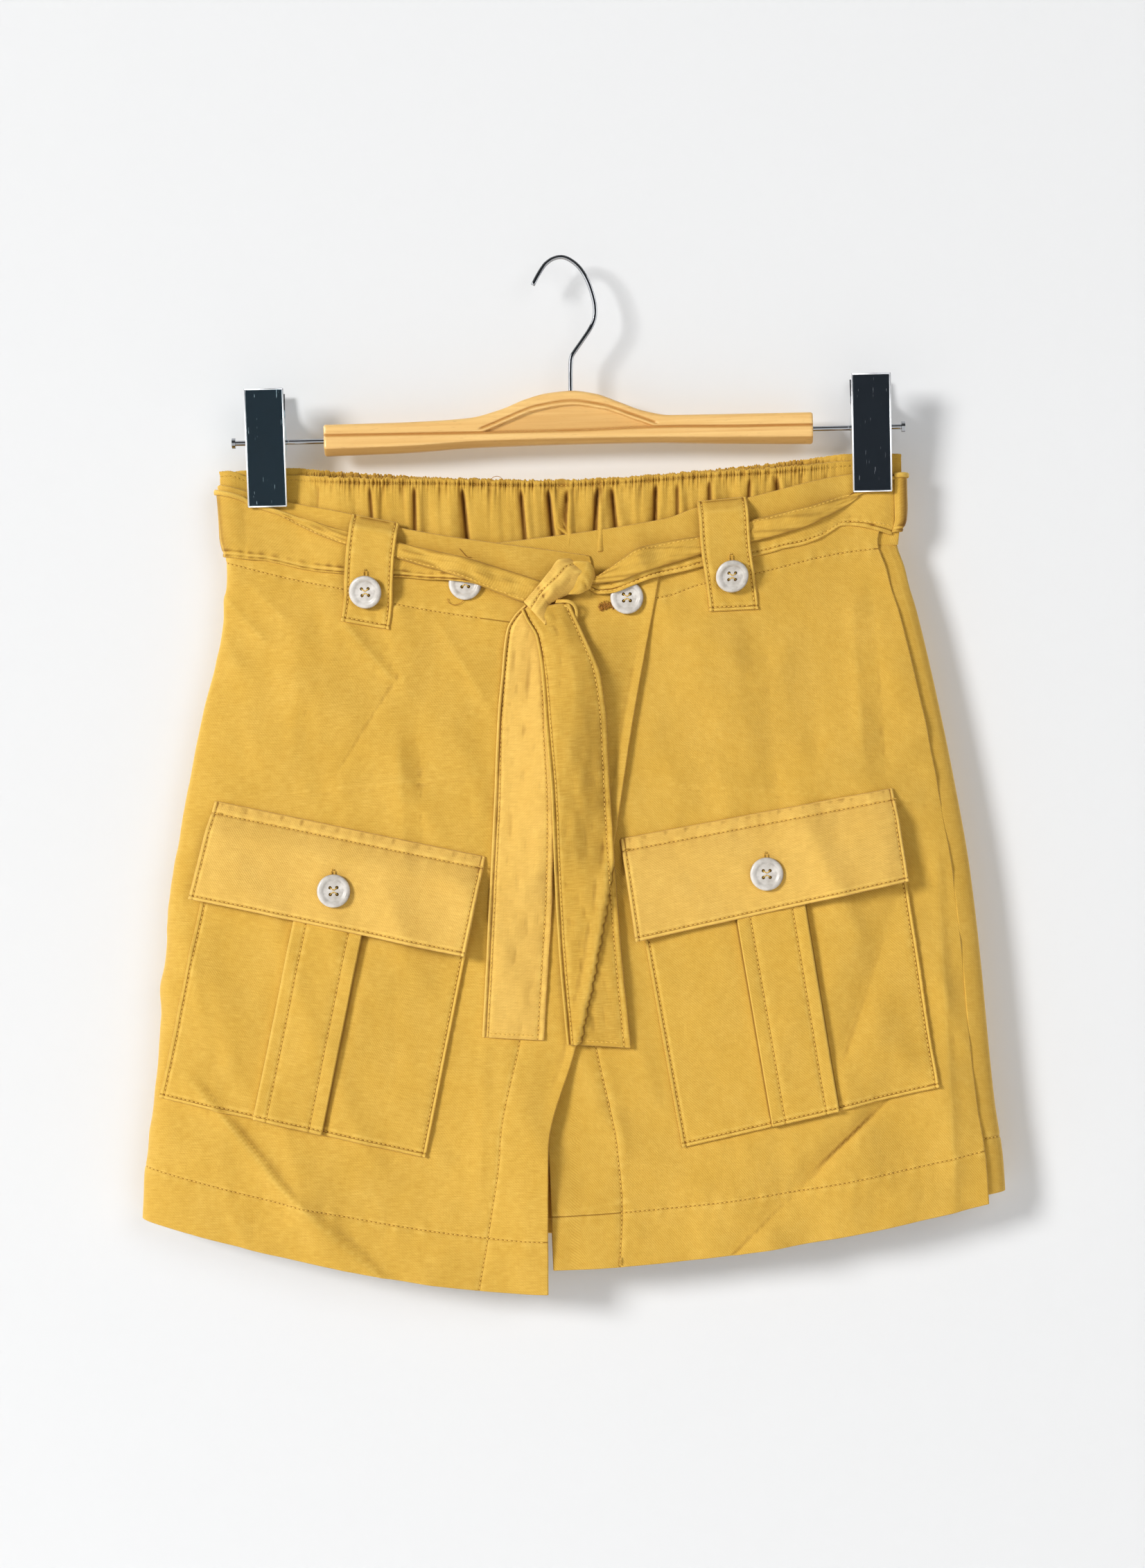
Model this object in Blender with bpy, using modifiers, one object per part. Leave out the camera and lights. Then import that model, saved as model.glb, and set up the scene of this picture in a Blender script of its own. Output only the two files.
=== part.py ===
"""Yellow wrap-front shorts hung flat from a wooden clip hanger.

The frame: +X is the right as the front is seen, +Y points behind the shorts, +Z is up.
The origin is the inside top of the hook, where the hanger hangs.
Sizes are millimetres in the tables and functions, and become metres when a mesh is made.
"""
import math
from collections import namedtuple

import bmesh
import bpy
from mathutils import Matrix, Vector

MM = 0.001

# ---------------------------------------------------------------- driving sizes
CLOTH = 1.0            # twill with its turnings, pressed
GAP = 0.3              # between pieces that touch
LAYER = CLOTH + GAP    # one piece laid on another
SEAM = 0.2             # each piece stops this far from its seam line
LOOSE = 0.35           # slack between soft layers, which also clears their flat facets
SLACK = 1.4            # how far the hidden fronts hang inside the wrap panels

ROUND = 0.6            # superellipse power of the body's sections
BAND_BOTTOM = -165.0   # seam between the gathered band and the legs
BAND_TOP = -124.5      # its free edge at the middle, which sags between the clips
BAND_SAG = 10.0        # how much higher the free edge is at the clips
FRONT_SAG = 4.0        # how much lower the front's free edge hangs than the back's
BAND_WAVES = 36        # gathers across the front or the back of the band
LEG_WAVES = 10         # gathers that run on into each back leg
WAVE_COLUMNS = 4       # columns of points for each gather
GATHER_DEPTH = 2.4     # hollow of a full gather
FRILL = 2.6            # free edge above the elastic's stitching

CROTCH = -400.0        # where the legs part
CROTCH_CURVE = 100.0   # height over which the centre seam turns under
INSEAM_ROLL = 28.0     # width of the turn at the inside of a leg
INSEAM_GAP = 0.65      # from the inside leg seam to each piece's edge
SEAM_DIP = 20.0        # degrees that the centre seam turns in above the crotch
LEG_PARTING = 5.0      # half the space between the legs at the hem
SIDE_BEHIND = 8.0      # the left seam lies behind the side, this far in from its outline
SIDE_BEFORE = 12.0     # the right seam shows in front, this far in from its outline
FRONT_HEMS = (-528.0, -524.0)   # left and right leg, at the outer side
BACK_HEMS = (-533.0, -530.0)
FRONT_HEM_DROP = 12.0  # how much lower the hems hang at the middle
BACK_HEM_DROP = 18.0

CLIP_X = 170.8         # clip centres, each side of the middle
CLIP_WIDTH = 22.0
CLIP_TOP = -69.0
CLIP_BOTTOM = -135.0
CLIP_FLAT = GAP / 2 + CLOTH   # outer face of one wall where the clip closes the waist
GRIP_FRONT = 5.8       # from the middle to each jaw's inner face at its foot
GRIP_BACK = 4.8
CLIP_OPEN = 13.0       # the same at its head
PLATE = 1.0            # thickness of a jaw

BELT_BEND = LAYER / 2  # radius of the belt's lengthwise fold, at mid cloth
FACING_RAMP = 26.0     # width over which the upper panel climbs the lower one
FACING_LEAD = 10.0     # how far before the lower panel's edge the climb ends
SLIT_CURL = 3.0        # how far the upper panel's edge stands forward at the slit
BUTTON_RADIUS = 9.35

ROD_RADIUS = 1.5
ROD_HEIGHT = -98.0
ROD_END = 190.6
ROD_SEAT = 14.0        # length of rod inside the bar
BAR_END = 138.3
BAR_DEPTH = 11.0
BAR_TOP = -89.0        # its upper edge beside the hump
BAR_FOOT = -106.7      # its lower edge at the ends, which arches up between them
BAR_ARCH = 5.2
HUMP_HEIGHT = 15.2
HUMP_REACH = 56.0
RECESS_REACH = 48.0    # the shallow recess under the bar's hump
RECESS_BELOW_TOP = 7.2
RECESS_FOOT = -97.2
WIRE_RADIUS = 1.6
HOOK_RADIUS = 16.5 + WIRE_RADIUS
STEM_X = 2.0
STEM_FOOT = -84.0      # inside the bar's hump

Section = namedtuple("Section", "height left right front back")
SECTIONS = [
    Section(-105, -195.0, 190.0, 7.0, 7.0),
    Section(-150, -195.0, 192.5, 7.8, 7.8),
    Section(-178, -191.5, 193.5, 9.0, 8.5),
    Section(-200, -197.5, 199.0, 10.2, 9.3),
    Section(-250, -210.5, 208.5, 12.0, 10.5),
    Section(-300, -220.5, 217.5, 13.5, 11.5),
    Section(-350, -228.5, 224.5, 15.0, 12.5),
    Section(-400, -234.0, 231.0, 16.0, 13.0),
    Section(-450, -238.0, 236.0, 17.0, 13.5),
    Section(-480, -242.5, 239.0, 17.5, 14.0),
    Section(-515, -250.0, 242.5, 18.0, 14.5),
    Section(-600, -253.0, 244.0, 19.0, 15.0),
]

Edge = namedtuple("Edge", "height x")
UPPER_EDGE = [  # free edge of the upper wrap panel
    Edge(-181, 48.5), Edge(-260, 32.0), Edge(-332, 19.0), Edge(-443, -5.0),
    Edge(-499, -21.6), Edge(-585, -24.0),
]
LOWER_EDGE = [  # free edge of the lower wrap panel, hidden above the slit
    Edge(-150, -80.0), Edge(-449, -31.0), Edge(-499, -21.2), Edge(-572, -20.0),
]

Top = namedtuple("Top", "x height")
UPPER_TOP = [Top(-196, -122), Top(-159, -132.4), Top(-124, -140.5), Top(-97, -149), Top(10, -167.7)]
LOWER_TOP = [Top(-80, -163), Top(53, -147.8), Top(71, -142), Top(99, -137.2), Top(157, -125),
             Top(196, -122)]
UPPER_NOTCH = Top(10, -180)   # past its waist corner the upper panel's top lies under the belt

Belt = namedtuple("Belt", "x top bottom flap")
BELT_LEFT = [   # flap is how far the fold comes down over the front
    Belt(-190, -128, -162.5, 1.5), Belt(-169, -135.6, -165.9, 1.5), Belt(-150, -142.5, -170.5, 1.5),
    Belt(-127, -151, -173.8, 5), Belt(-98, -156.6, -174.6, 9), Belt(-62, -167, -180.2, 12),
    Belt(-30, -176.5, -187, 16), Belt(-11, -181, -190, 10),
]
BELT_RIGHT = [
    Belt(-9, -180.5, -189.5, 4), Belt(12, -179.5, -186.5, 4), Belt(29, -169.5, -187, 12),
    Belt(47, -162.5, -180.3, 13), Belt(72, -158.2, -175, 10.5), Belt(102, -149.8, -169.3, 6.5),
    Belt(123, -143, -165.8, 6.5), Belt(143, -136.5, -160.3, 6), Belt(156, -131.5, -153.2, 1.5),
    Belt(170, -127, -155, 1.5), Belt(186, -123.7, -158.5, 1.5),
]
BELT_BACK_TOP = -124.0
BELT_BACK_SAG = 8.0
BELT_WIDTH = 36.0

Tail = namedtuple("Tail", "height left right")
TAIL_LEFT = [
    Tail(-196, -27.5, -17.5), Tail(-206, -36.0, -17.0), Tail(-259, -43.9, -15.5),
    Tail(-306, -47.1, -14.0), Tail(-344, -50.0, -15.1), Tail(-437, -57.0, -22.6),
]
TAIL_RIGHT = [
    Tail(-196, -14.0, -3.0), Tail(-206, -18.0, 2.5), Tail(-237, -19.0, 14.0),
    Tail(-306, -14.7, 18.0), Tail(-382, -13.5, 21.4), Tail(-443, -9.7, 25.8),
]

Knot = namedtuple("Knot", "along half_width thickness")
KNOT_TOP = (7.0, -171.0)       # x and height of the two ends of the knot's wrap
KNOT_FOOT = (-20.5, -203.0)
KNOT = [
    Knot(0.0, 5.0, 5.0), Knot(0.12, 9.0, 10.0), Knot(0.4, 10.5, 13.0),
    Knot(0.7, 10.0, 12.0), Knot(0.9, 8.0, 8.5), Knot(1.0, 4.5, 4.0),
]
KNOT_REACH = 13.0     # the knot clears the cloth all over this far round its axis
KNOT_LIFT = 6.2

Corners = namedtuple("Corners", "top_left top_right bottom_right bottom_left")
POCKET_LEFT = Corners((-204.8, -322.6), (-57.6, -355.2), (-90.6, -502.7), (-238.2, -466.1))
POCKET_RIGHT = Corners((30.5, -350.1), (179.6, -322.9), (197.8, -470.8), (53.9, -500.6))
FLAP_LEFT = Corners((-204.2, -300.5), (-52.8, -335.6), (-65.8, -390.3), (-218.1, -354.5))
FLAP_RIGHT = Corners((23.6, -327.5), (176.9, -302.9), (183.0, -354.7), (30.6, -384.7))
TAB_LEFT = Corners((-123.2, -140.7), (-97.1, -146.6), (-103.9, -206.0), (-130.3, -200.4))
TAB_RIGHT = Corners((71.2, -138.6), (98.6, -136.6), (103.9, -199.7), (76.5, -200.4))
PLEAT = (0.35, 0.61)           # the box pleat's edges, as shares of the pocket's width

Button = namedtuple("Button", "name x height host")
BUTTONS = [
    Button("button_tab_left", -115.9, -184.5, "tab_left"),
    Button("button_waist_left", -60.1, -181.3, "panel"),
    Button("button_waist_right", 30.6, -191.6, "panel"),
    Button("button_tab_right", 89.4, -180.8, "tab_right"),
    Button("button_flap_left", -137.6, -352.2, "flap_left"),
    Button("button_flap_right", 104.4, -348.8, "flap_right"),
]
BUTTON_BUMP = 3.2      # how far the belt stands out where it crosses a waist button


# ---------------------------------------------------------------- reading the tables
def smooth_read(rows, key, column, at):
    """The column's value at a place, on a smooth curve through the rows."""
    rows = sorted(rows, key=lambda row: getattr(row, key))
    places = [getattr(row, key) for row in rows]
    values = [getattr(row, column) for row in rows]
    if at <= places[0]:
        return values[0]
    if at >= places[-1]:
        return values[-1]
    last = next(i for i, place in enumerate(places) if place > at)
    first = last - 1
    span = places[last] - places[first]
    step = (values[last] - values[first]) / span

    def slope(i):
        if i == 0 or i == len(rows) - 1:
            return step
        before = (values[i] - values[i - 1]) / (places[i] - places[i - 1])
        after = (values[i + 1] - values[i]) / (places[i + 1] - places[i])
        if before * after <= 0:
            return 0.0
        return 2 * before * after / (before + after)

    t = (at - places[first]) / span
    start, end = slope(first) * span, slope(last) * span
    rise = values[last] - values[first]
    return values[first] + t * start + t * t * (3 * rise - 2 * start - end) + t ** 3 * (start + end - 2 * rise)


def ease(t):
    """0 below 0, 1 above 1, and smooth between."""
    t = min(max(t, 0.0), 1.0)
    return t * t * (3 - 2 * t)


def signed_power(value, power):
    return math.copysign(abs(value) ** power, value)


def mix(a, b, t):
    return a + (b - a) * t


# ---------------------------------------------------------------- the body's surface
def section(height):
    return Section(height, *(smooth_read(SECTIONS, "height", name, height)
                             for name in ("left", "right", "front", "back")))


def pinch(x, height):
    """1 where a clip presses the waist flat, 0 away from it."""
    inward = abs(x) - CLIP_X
    reach = 34.0 if inward < 0 else 12.0
    across = 1 - ease((abs(inward) - 0.55 * CLIP_WIDTH) / reach)
    down = 1 - ease((CLIP_BOTTOM - 3 - height) / 75.0)
    return across * down


def ring(angle, height):
    """A point on the outer face: 0 is the left side, 90 degrees the front, 180 the right side."""
    s = section(height)
    x = (s.left + s.right) / 2 - (s.right - s.left) / 2 * signed_power(math.cos(angle), ROUND)
    depth = s.front if math.sin(angle) > 0 else s.back
    y = depth * abs(math.sin(angle)) ** ROUND
    if y > CLIP_FLAT:
        y = CLIP_FLAT + (y - CLIP_FLAT) * (1 - pinch(x, height))
    return x, (-y if math.sin(angle) > 0 else y)


def body(angle, height, lift=0.0):
    """A point at a lift outside the ring, along the ring's level normal."""
    step = 0.004
    x0, y0 = ring(angle - step, height)
    x1, y1 = ring(angle + step, height)
    length = math.hypot(x1 - x0, y1 - y0)
    x, y = ring(angle, height)
    return Vector((x + lift * (y1 - y0) / length, y - lift * (x1 - x0) / length, height))


def angle_at(x, height):
    """The front angle where the ring stands at x."""
    s = section(height)
    share = ((s.left + s.right) / 2 - x) / ((s.right - s.left) / 2)
    share = min(max(share, -0.9995), 0.9995)
    return math.acos(signed_power(share, 1 / ROUND))


def front(x, height, lift=0.0):
    return body(angle_at(x, height), height, lift)


def side_seams(height):
    """Angles of the left seam, just behind the side, and the right seam, just before it."""
    s = section(height)
    return -angle_at(s.left + SIDE_BEHIND, height), angle_at(s.right - SIDE_BEFORE, height)


def spread(start, end, shares, height):
    """Angles from start to end at the given shares of the way along the ring."""
    samples = 90
    angles = [mix(start, end, i / samples) for i in range(samples + 1)]
    points = [ring(a, height) for a in angles]
    along = [0.0]
    for p, q in zip(points, points[1:]):
        along.append(along[-1] + math.dist(p, q))
    result = []
    for share in shares:
        goal = share * along[-1]
        i = min(max(sum(1 for a in along if a < goal), 1), samples)
        part = (goal - along[i - 1]) / (along[i] - along[i - 1])
        result.append(mix(angles[i - 1], angles[i], part))
    return result


def inset_angles(start, end, height):
    """The two angles, each moved half a seam gap towards the other."""
    length = math.dist(ring(start, height), ring(end, height))
    shares = (SEAM / length, 1 - SEAM / length)
    return spread(start, end, shares, height)


# ---------------------------------------------------------------- mesh helpers
def empty_scene():
    for obj in list(bpy.data.objects):
        bpy.data.objects.remove(obj, do_unlink=True)


def collection(name):
    group = bpy.data.collections.new(name)
    bpy.context.scene.collection.children.link(group)
    return group


def material(name, colour, roughness, metallic=0.0):
    mat = bpy.data.materials.new(name)
    mat.use_nodes = True
    shader = mat.node_tree.nodes["Principled BSDF"]
    shader.inputs["Base Color"].default_value = (*colour, 1)
    shader.inputs["Roughness"].default_value = roughness
    shader.inputs["Metallic"].default_value = metallic
    return mat


def add(name, data, mat, group):
    obj = bpy.data.objects.new(name, data)
    if mat:
        data.materials.append(mat)
    group.objects.link(obj)
    return obj


def grid_mesh(name, rows):
    """A sheet through rows of points, given from the lowest row up and from left to right."""
    mesh = bpy.data.meshes.new(name)
    bm = bmesh.new()
    bmesh.ops.create_grid(bm, x_segments=len(rows[0]) - 1, y_segments=len(rows) - 1, size=1)
    points = [p for row in rows for p in row]
    bm.verts.ensure_lookup_table()
    for vert, point in zip(bm.verts, points):
        vert.co = Vector(point) * MM
    bm.to_mesh(mesh)
    bm.free()
    return mesh


def wall(name, rows, mat, group, outward=1.0):
    """Cloth: outward 1 thickens away from the body, -1 towards it, 0 both ways."""
    obj = add(name, grid_mesh(name, rows), mat, group)
    obj.data.shade_smooth()
    solid = obj.modifiers.new("cloth", "SOLIDIFY")
    solid.thickness = CLOTH * MM
    solid.offset = outward
    return obj


def turned(name, profile, steps, mat, group):
    """A turned solid from radius and height pairs, listed from the top down."""
    mesh = bpy.data.meshes.new(name)
    bm = bmesh.new()
    verts = [bm.verts.new((radius * MM, 0, height * MM)) for radius, height in profile]
    for a, b in zip(verts, verts[1:]):
        bm.edges.new((a, b))
    bm.to_mesh(mesh)
    bm.free()
    obj = add(name, mesh, mat, group)
    screw = obj.modifiers.new("turn", "SCREW")
    screw.steps = steps
    screw.render_steps = steps
    screw.use_merge_vertices = True
    screw.merge_threshold = 0.00001
    return obj


def outline_solid(name, points, half_thickness, place, mat, group):
    """A flat outline given its thickness, as a closed mesh placed by a matrix."""
    curve = bpy.data.curves.new(name, "CURVE")
    curve.dimensions = "2D"
    curve.fill_mode = "BOTH"
    curve.extrude = half_thickness * MM
    spline = curve.splines.new("POLY")
    spline.points.add(len(points) - 1)
    for spot, (a, b) in zip(spline.points, points):
        spot.co = (a * MM, b * MM, 0, 1)
    spline.use_cyclic_u = True
    flat = add(name + "_outline", curve, None, group)
    bpy.context.view_layer.update()
    mesh = bpy.data.meshes.new_from_object(flat.evaluated_get(bpy.context.evaluated_depsgraph_get()))
    bpy.data.objects.remove(flat, do_unlink=True)
    bm = bmesh.new()
    bm.from_mesh(mesh)
    bmesh.ops.remove_doubles(bm, verts=bm.verts, dist=0.00001)
    bmesh.ops.recalc_face_normals(bm, faces=bm.faces)
    bm.to_mesh(mesh)
    bm.free()
    obj = add(name, mesh, mat, group)
    obj.matrix_world = place
    return obj


def cut(obj, cutter):
    """Takes the cutter away from the object."""
    cutter.hide_render = True
    cutter.display_type = "WIRE"
    boolean = obj.modifiers.new("cut", "BOOLEAN")
    boolean.operation = "DIFFERENCE"
    boolean.object = cutter


def rod_cutter(name, radius, start, end, group):
    """A level bar along X for cutting bores, from start to end, at the rod's height."""
    bpy.ops.mesh.primitive_cylinder_add(vertices=16, radius=radius * MM, depth=(end - start) * MM,
                                        location=((start + end) / 2 * MM, 0, ROD_HEIGHT * MM),
                                        rotation=(0, math.pi / 2, 0))
    cutter = bpy.context.object
    cutter.name = name
    for owner in list(cutter.users_collection):
        owner.objects.unlink(cutter)
    group.objects.link(cutter)
    return cutter


# ---------------------------------------------------------------- gathered waist and legs
def top_height(x):
    """The waist's top edge, sagging between the clips."""
    share = min(abs(x) / 155.0, 1.0)
    return BAND_TOP + BAND_SAG * share ** 1.6 - 2.5 * ease((abs(x) - 172) / 20)


def unevenness(i, pace):
    return math.sin(pace * i) * 0.6 + math.sin(0.37 * pace * i + 1.0) * 0.4


def gather_shares(waves):
    """Shares along the cloth where the gathers' points lie, with uneven widths."""
    widths = [1 + 0.34 * unevenness(i, 2.3) for i in range(waves)]
    total = sum(widths)
    shares, start = [0.0], 0.0
    for width in widths:
        shares += [(start + width * (k + 1) / WAVE_COLUMNS) / total for k in range(WAVE_COLUMNS)]
        start += width
    return shares


def gather_hollow(column):
    """How deep the cloth lies at a column: 0 on a crest, up to 1 in a hollow."""
    wave = column // WAVE_COLUMNS
    shape = (1.0, 0.45, 0.0, 0.45)[column % WAVE_COLUMNS]
    return shape * (0.66 + 0.34 * unevenness(wave, 3.1))


def waistband(name, start_end, lower_by, mat, group):
    """Half of the elasticated waist, front or back, with a frilled top edge."""
    shares = gather_shares(BAND_WAVES)
    Row = namedtuple("Row", "share frill depth inside")
    levels = [Row(0.0, 0.0, 0.75, 1.2), Row(1.0, -FRILL, 0.6, 0.6), Row(1.0, 0.0, 1.0, 0.0)]
    rows = []
    for level in levels:
        row = []
        start, end = start_end(BAND_BOTTOM)
        for column, angle in enumerate(spread(start, end, shares, BAND_BOTTOM)):
            x = ring(angle, BAND_BOTTOM)[0]
            open_part = 1 - ease((abs(x) - 120) / 45)
            top = top_height(x) - lower_by * (0.35 + 0.65 * ease((abs(x) - 60) / 80))
            height = mix(BAND_BOTTOM + SEAM, top + level.frill, level.share)
            sides = 0.35 + 0.65 * ease((190 - abs(x)) / 12)
            hollow = GATHER_DEPTH * level.depth * gather_hollow(column) * (0.25 + 0.75 * open_part)
            hollow = (hollow + level.inside) * (1 - 0.9 * pinch(x, height)) * sides
            row.append(body(angle, height, -hollow))
        rows.append(row)
    return wall(name, rows, mat, group, outward=-1)


def front_span(height):
    left, right = side_seams(height)
    return inset_angles(left, right, height)


def back_span(height):
    left, right = side_seams(height)
    return inset_angles(right, left + 2 * math.pi, height)


def inseam_turn(height):
    """How far the cloth turns under at the middle: a little above the crotch, fully below it."""
    return math.radians(mix(90.0, SEAM_DIP, ease((height - CROTCH) / CROTCH_CURVE)))


FRONT_SHARES = [0, 0.015, 0.035, 0.06, 0.1, 0.16, 0.26, 0.4, 0.55, 0.7, 0.85, 1]


def leg_half(name, right_leg, back, hem, waves, mat, group):
    """One leg's front or back, from its side seam to the centre seam and the inside leg."""
    outer_shares = gather_shares(waves) if waves else FRONT_SHARES
    turn_steps = 4
    heights = [hem, -490, -435, -400, -350, -280, -225, -187, BAND_BOTTOM - SEAM]
    rows = []
    for row_index, level in enumerate(heights):
        row = []
        seams = side_seams(level)
        middle = (section(level).left + section(level).right) / 2
        parting = SEAM + LEG_PARTING * ease((CROTCH - level) / 130.0)
        inner = middle + (parting if right_leg else -parting)
        roll = INSEAM_ROLL if right_leg else -INSEAM_ROLL
        turn = inseam_turn(level)
        roll_start = inner + roll * math.sin(turn)
        side = seams[1] if right_leg else seams[0]
        inner_angle = angle_at(roll_start, level)
        if back:
            inner_angle = -inner_angle
            if right_leg:
                inner_angle += 2 * math.pi
        nudged = spread(side, inner_angle, [SEAM / 200.0], level)[0]
        fading = ease((level + 330) / 165.0)
        points = []
        for column, angle in enumerate(spread(nudged, inner_angle, outer_shares, level)):
            from_side = ease(outer_shares[column] / 0.05)
            hollow = GATHER_DEPTH * 0.8 * fading * gather_hollow(column) * from_side
            if not waves:
                hollow = SLACK * (0.6 + 0.4 * from_side)
            points.append(body(angle, level, -hollow))
        for k in range(1, turn_steps + 1):
            bend = turn * k / turn_steps
            x = inner + roll * (math.sin(turn) - math.sin(bend))
            angle = angle_at(x, level)
            sign = 1 if back else -1
            y = ring(-angle if back else angle, level)[1] - sign * (0 if waves else SLACK)
            points.append(Vector((x, sign * INSEAM_GAP + (y - sign * INSEAM_GAP) * math.cos(bend), level)))
        if row_index == 0:
            for point in points:
                point.z = hem - hem_drop(point.x, back)
        if right_leg == (not back):
            points.reverse()
        row = points
        rows.append(row)
    return wall(name, rows, mat, group, outward=-1)


def hem_drop(x, back):
    """The legs' hems hang lower towards the middle."""
    drop = BACK_HEM_DROP if back else FRONT_HEM_DROP
    return drop * (1 - min(abs(x) / 245.0, 1.0) ** 2)


# ---------------------------------------------------------------- wrap panels
def upper_edge(height):
    return smooth_read(UPPER_EDGE, "height", "x", height)


def lower_edge(height):
    return smooth_read(LOWER_EDGE, "height", "x", height)


def upper_lift(x, height):
    """The inner face of the upper panel: on the body, then over the lower panel."""
    climb = ease((x - lower_edge(height) + FACING_RAMP + FACING_LEAD) / FACING_RAMP)
    near_edge = ease((x - upper_edge(height) + 45) / 45)
    at_slit = ease((-445 - height) / 40) * ease((height + 590) / 60)
    return panel_lift(x, height) + (LAYER + LOOSE) * climb + SLIT_CURL * near_edge * at_slit


def panel_lift(x, height):
    """A panel's inner face, a little looser where a clip presses everything flat."""
    return GAP + 0.3 * pinch(x, height)


def panel_face(x, height):
    """The outer face of the panel that shows at a place."""
    if x < upper_edge(height) + 2:
        return upper_lift(x, height) + CLOTH
    return panel_lift(x, height) + CLOTH


def upper_hem(x):
    share = min(max((-24 - x) / 214.0, 0), 1.1)
    return -581.5 + 42.5 * share ** 1.7


def lower_hem(x):
    share = min(max((x + 20) / 253.0, 0), 1.05)
    return -569.0 + 33.0 * share ** 2.3


PANEL_SHARES = [0, 0.01, 0.02, 0.03, 0.042, 0.056, 0.075, 0.098, 0.122, 0.148, 0.175, 0.205, 0.24, 0.28,
                0.33, 0.39, 0.45, 0.51, 0.57, 0.63, 0.69, 0.75, 0.81, 0.87, 0.935, 1]
PANEL_LEVELS = [0, 0.08, 0.17, 0.28, 0.4, 0.52, 0.64, 0.75, 0.84, 0.9, 0.95, 1]


def upper_panel(mat, group):
    """The left panel as seen: from behind the left side to its free edge, on top at the middle."""
    rows = []
    for level in PANEL_LEVELS:
        row = []
        for share in PANEL_SHARES:
            x, height = -150.0, -300.0
            for _ in range(6):
                seam = side_seams(height)[0]
                angle = spread(seam, angle_at(upper_edge(height), height), [share], height)[0]
                x = ring(angle, height)[0]
                top = smooth_read(UPPER_TOP, "x", "height", x)
                if x > UPPER_NOTCH.x:
                    top = mix(top, UPPER_NOTCH.height, ease((x - UPPER_NOTCH.x) / 6))
                height = mix(upper_hem(x), top, level)
            row.append(body(angle, height, upper_lift(x, height)))
        rows.append(row)
    return wall("wrap_panel_upper", rows, mat, group)


def lower_panel(mat, group):
    """The right panel as seen: from its hidden free edge to the right side seam."""
    rows = []
    for level in PANEL_LEVELS:
        row = []
        for share in reversed(PANEL_SHARES):
            x, height = 150.0, -300.0
            for _ in range(6):
                seam = side_seams(height)[1]
                edge = angle_at(lower_edge(height), height)
                angle = spread(edge, seam, [1 - share], height)[0]
                x = ring(angle, height)[0]
                top = smooth_read(LOWER_TOP, "x", "height", x)
                height = mix(lower_hem(x), top, level)
            row.append(body(angle, height, panel_lift(x, height)))
        rows.append(row)
    return wall("wrap_panel_lower", rows, mat, group)


# ---------------------------------------------------------------- what lies on the panels
def corner_point(corners, across, up):
    """A place on a four-cornered patch, across from its left side and up from its bottom."""
    bottom = [mix(a, b, across) for a, b in zip(corners.bottom_left, corners.bottom_right)]
    top = [mix(a, b, across) for a, b in zip(corners.top_left, corners.top_right)]
    return [mix(a, b, up) for a, b in zip(bottom, top)]


def patch(name, corners, across, up, lift, mat, group):
    """A sewn-on piece made from the panel's points, moved out by lift(across, up)."""
    rows = []
    for v in up:
        row = []
        for u in across:
            x, height = corner_point(corners, u, v)
            row.append(front(x, height, panel_face(x, height) + lift(u, v)))
        rows.append(row)
    return wall(name, rows, mat, group)


def pocket_lift(u, v):
    """Flat on the panel, with a box pleat that opens a little towards the flap."""
    inside = PLEAT[0] < u < PLEAT[1]
    return GAP + LOOSE + ((LAYER + 1.2 * v) if inside else 0.0) + 0.8 * math.sin(math.pi * u) * v


def flap_lift(u, v):
    """Sewn down along its top, standing over the pocket's pleat below."""
    return GAP + LOOSE + (2 * LAYER + 2.8) * ease((1 - v) / 0.34) + 1.2 * (1 - v) * u


def tab_lift(u, v):
    """Sewn down at its top, out over the belt, and buttoned back to the panel below it."""
    over_belt = ease((v - 0.2) / 0.16) * ease((1 - v) / 0.12)
    return GAP + LOOSE + (2 * LAYER + 2 * LOOSE) * over_belt


def pocket(name, corners, mat, group):
    edge = 0.006
    across = [0, 0.02, 0.045, 0.075, 0.12, 0.2, PLEAT[0] - edge, PLEAT[0] + edge, 0.48,
              PLEAT[1] - edge, PLEAT[1] + edge, 0.8, 0.92, 1]
    return patch(name, corners, across, [i / 5 for i in range(6)], pocket_lift, mat, group)


def flap(name, corners, mat, group):
    return patch(name, corners, [0, 0.05, 0.12, 0.25, 0.42, 0.6, 0.8, 1], [0, 0.33, 0.66, 0.83, 1],
                 flap_lift, mat, group)


def tab(name, corners, mat, group):
    up = [0, 0.12, 0.2, 0.28, 0.36, 0.5, 0.62, 0.75, 0.88, 0.94, 1]
    return patch(name, corners, [0, 0.5, 1], up, tab_lift, mat, group)


def corner_share(corners, x, height):
    """Where a place lies on a patch, across and up."""
    across, up = 0.5, 0.5
    for _ in range(12):
        left, right = corner_point(corners, 0, up), corner_point(corners, 1, up)
        across = (x - left[0]) / (right[0] - left[0])
        foot, head = corner_point(corners, across, 0), corner_point(corners, across, 1)
        up = (height - foot[1]) / (head[1] - foot[1])
    return across, up


HOSTS = {
    "tab_left": (TAB_LEFT, tab_lift), "tab_right": (TAB_RIGHT, tab_lift),
    "flap_left": (FLAP_LEFT, flap_lift), "flap_right": (FLAP_RIGHT, flap_lift),
}


def host_point(host, x, height):
    """A point on the outer face of the cloth that carries a button."""
    lift = panel_face(x, height)
    if host in HOSTS:
        corners, lift_of = HOSTS[host]
        lift += lift_of(*corner_share(corners, x, height)) + CLOTH
    return front(x, height, lift)


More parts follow.
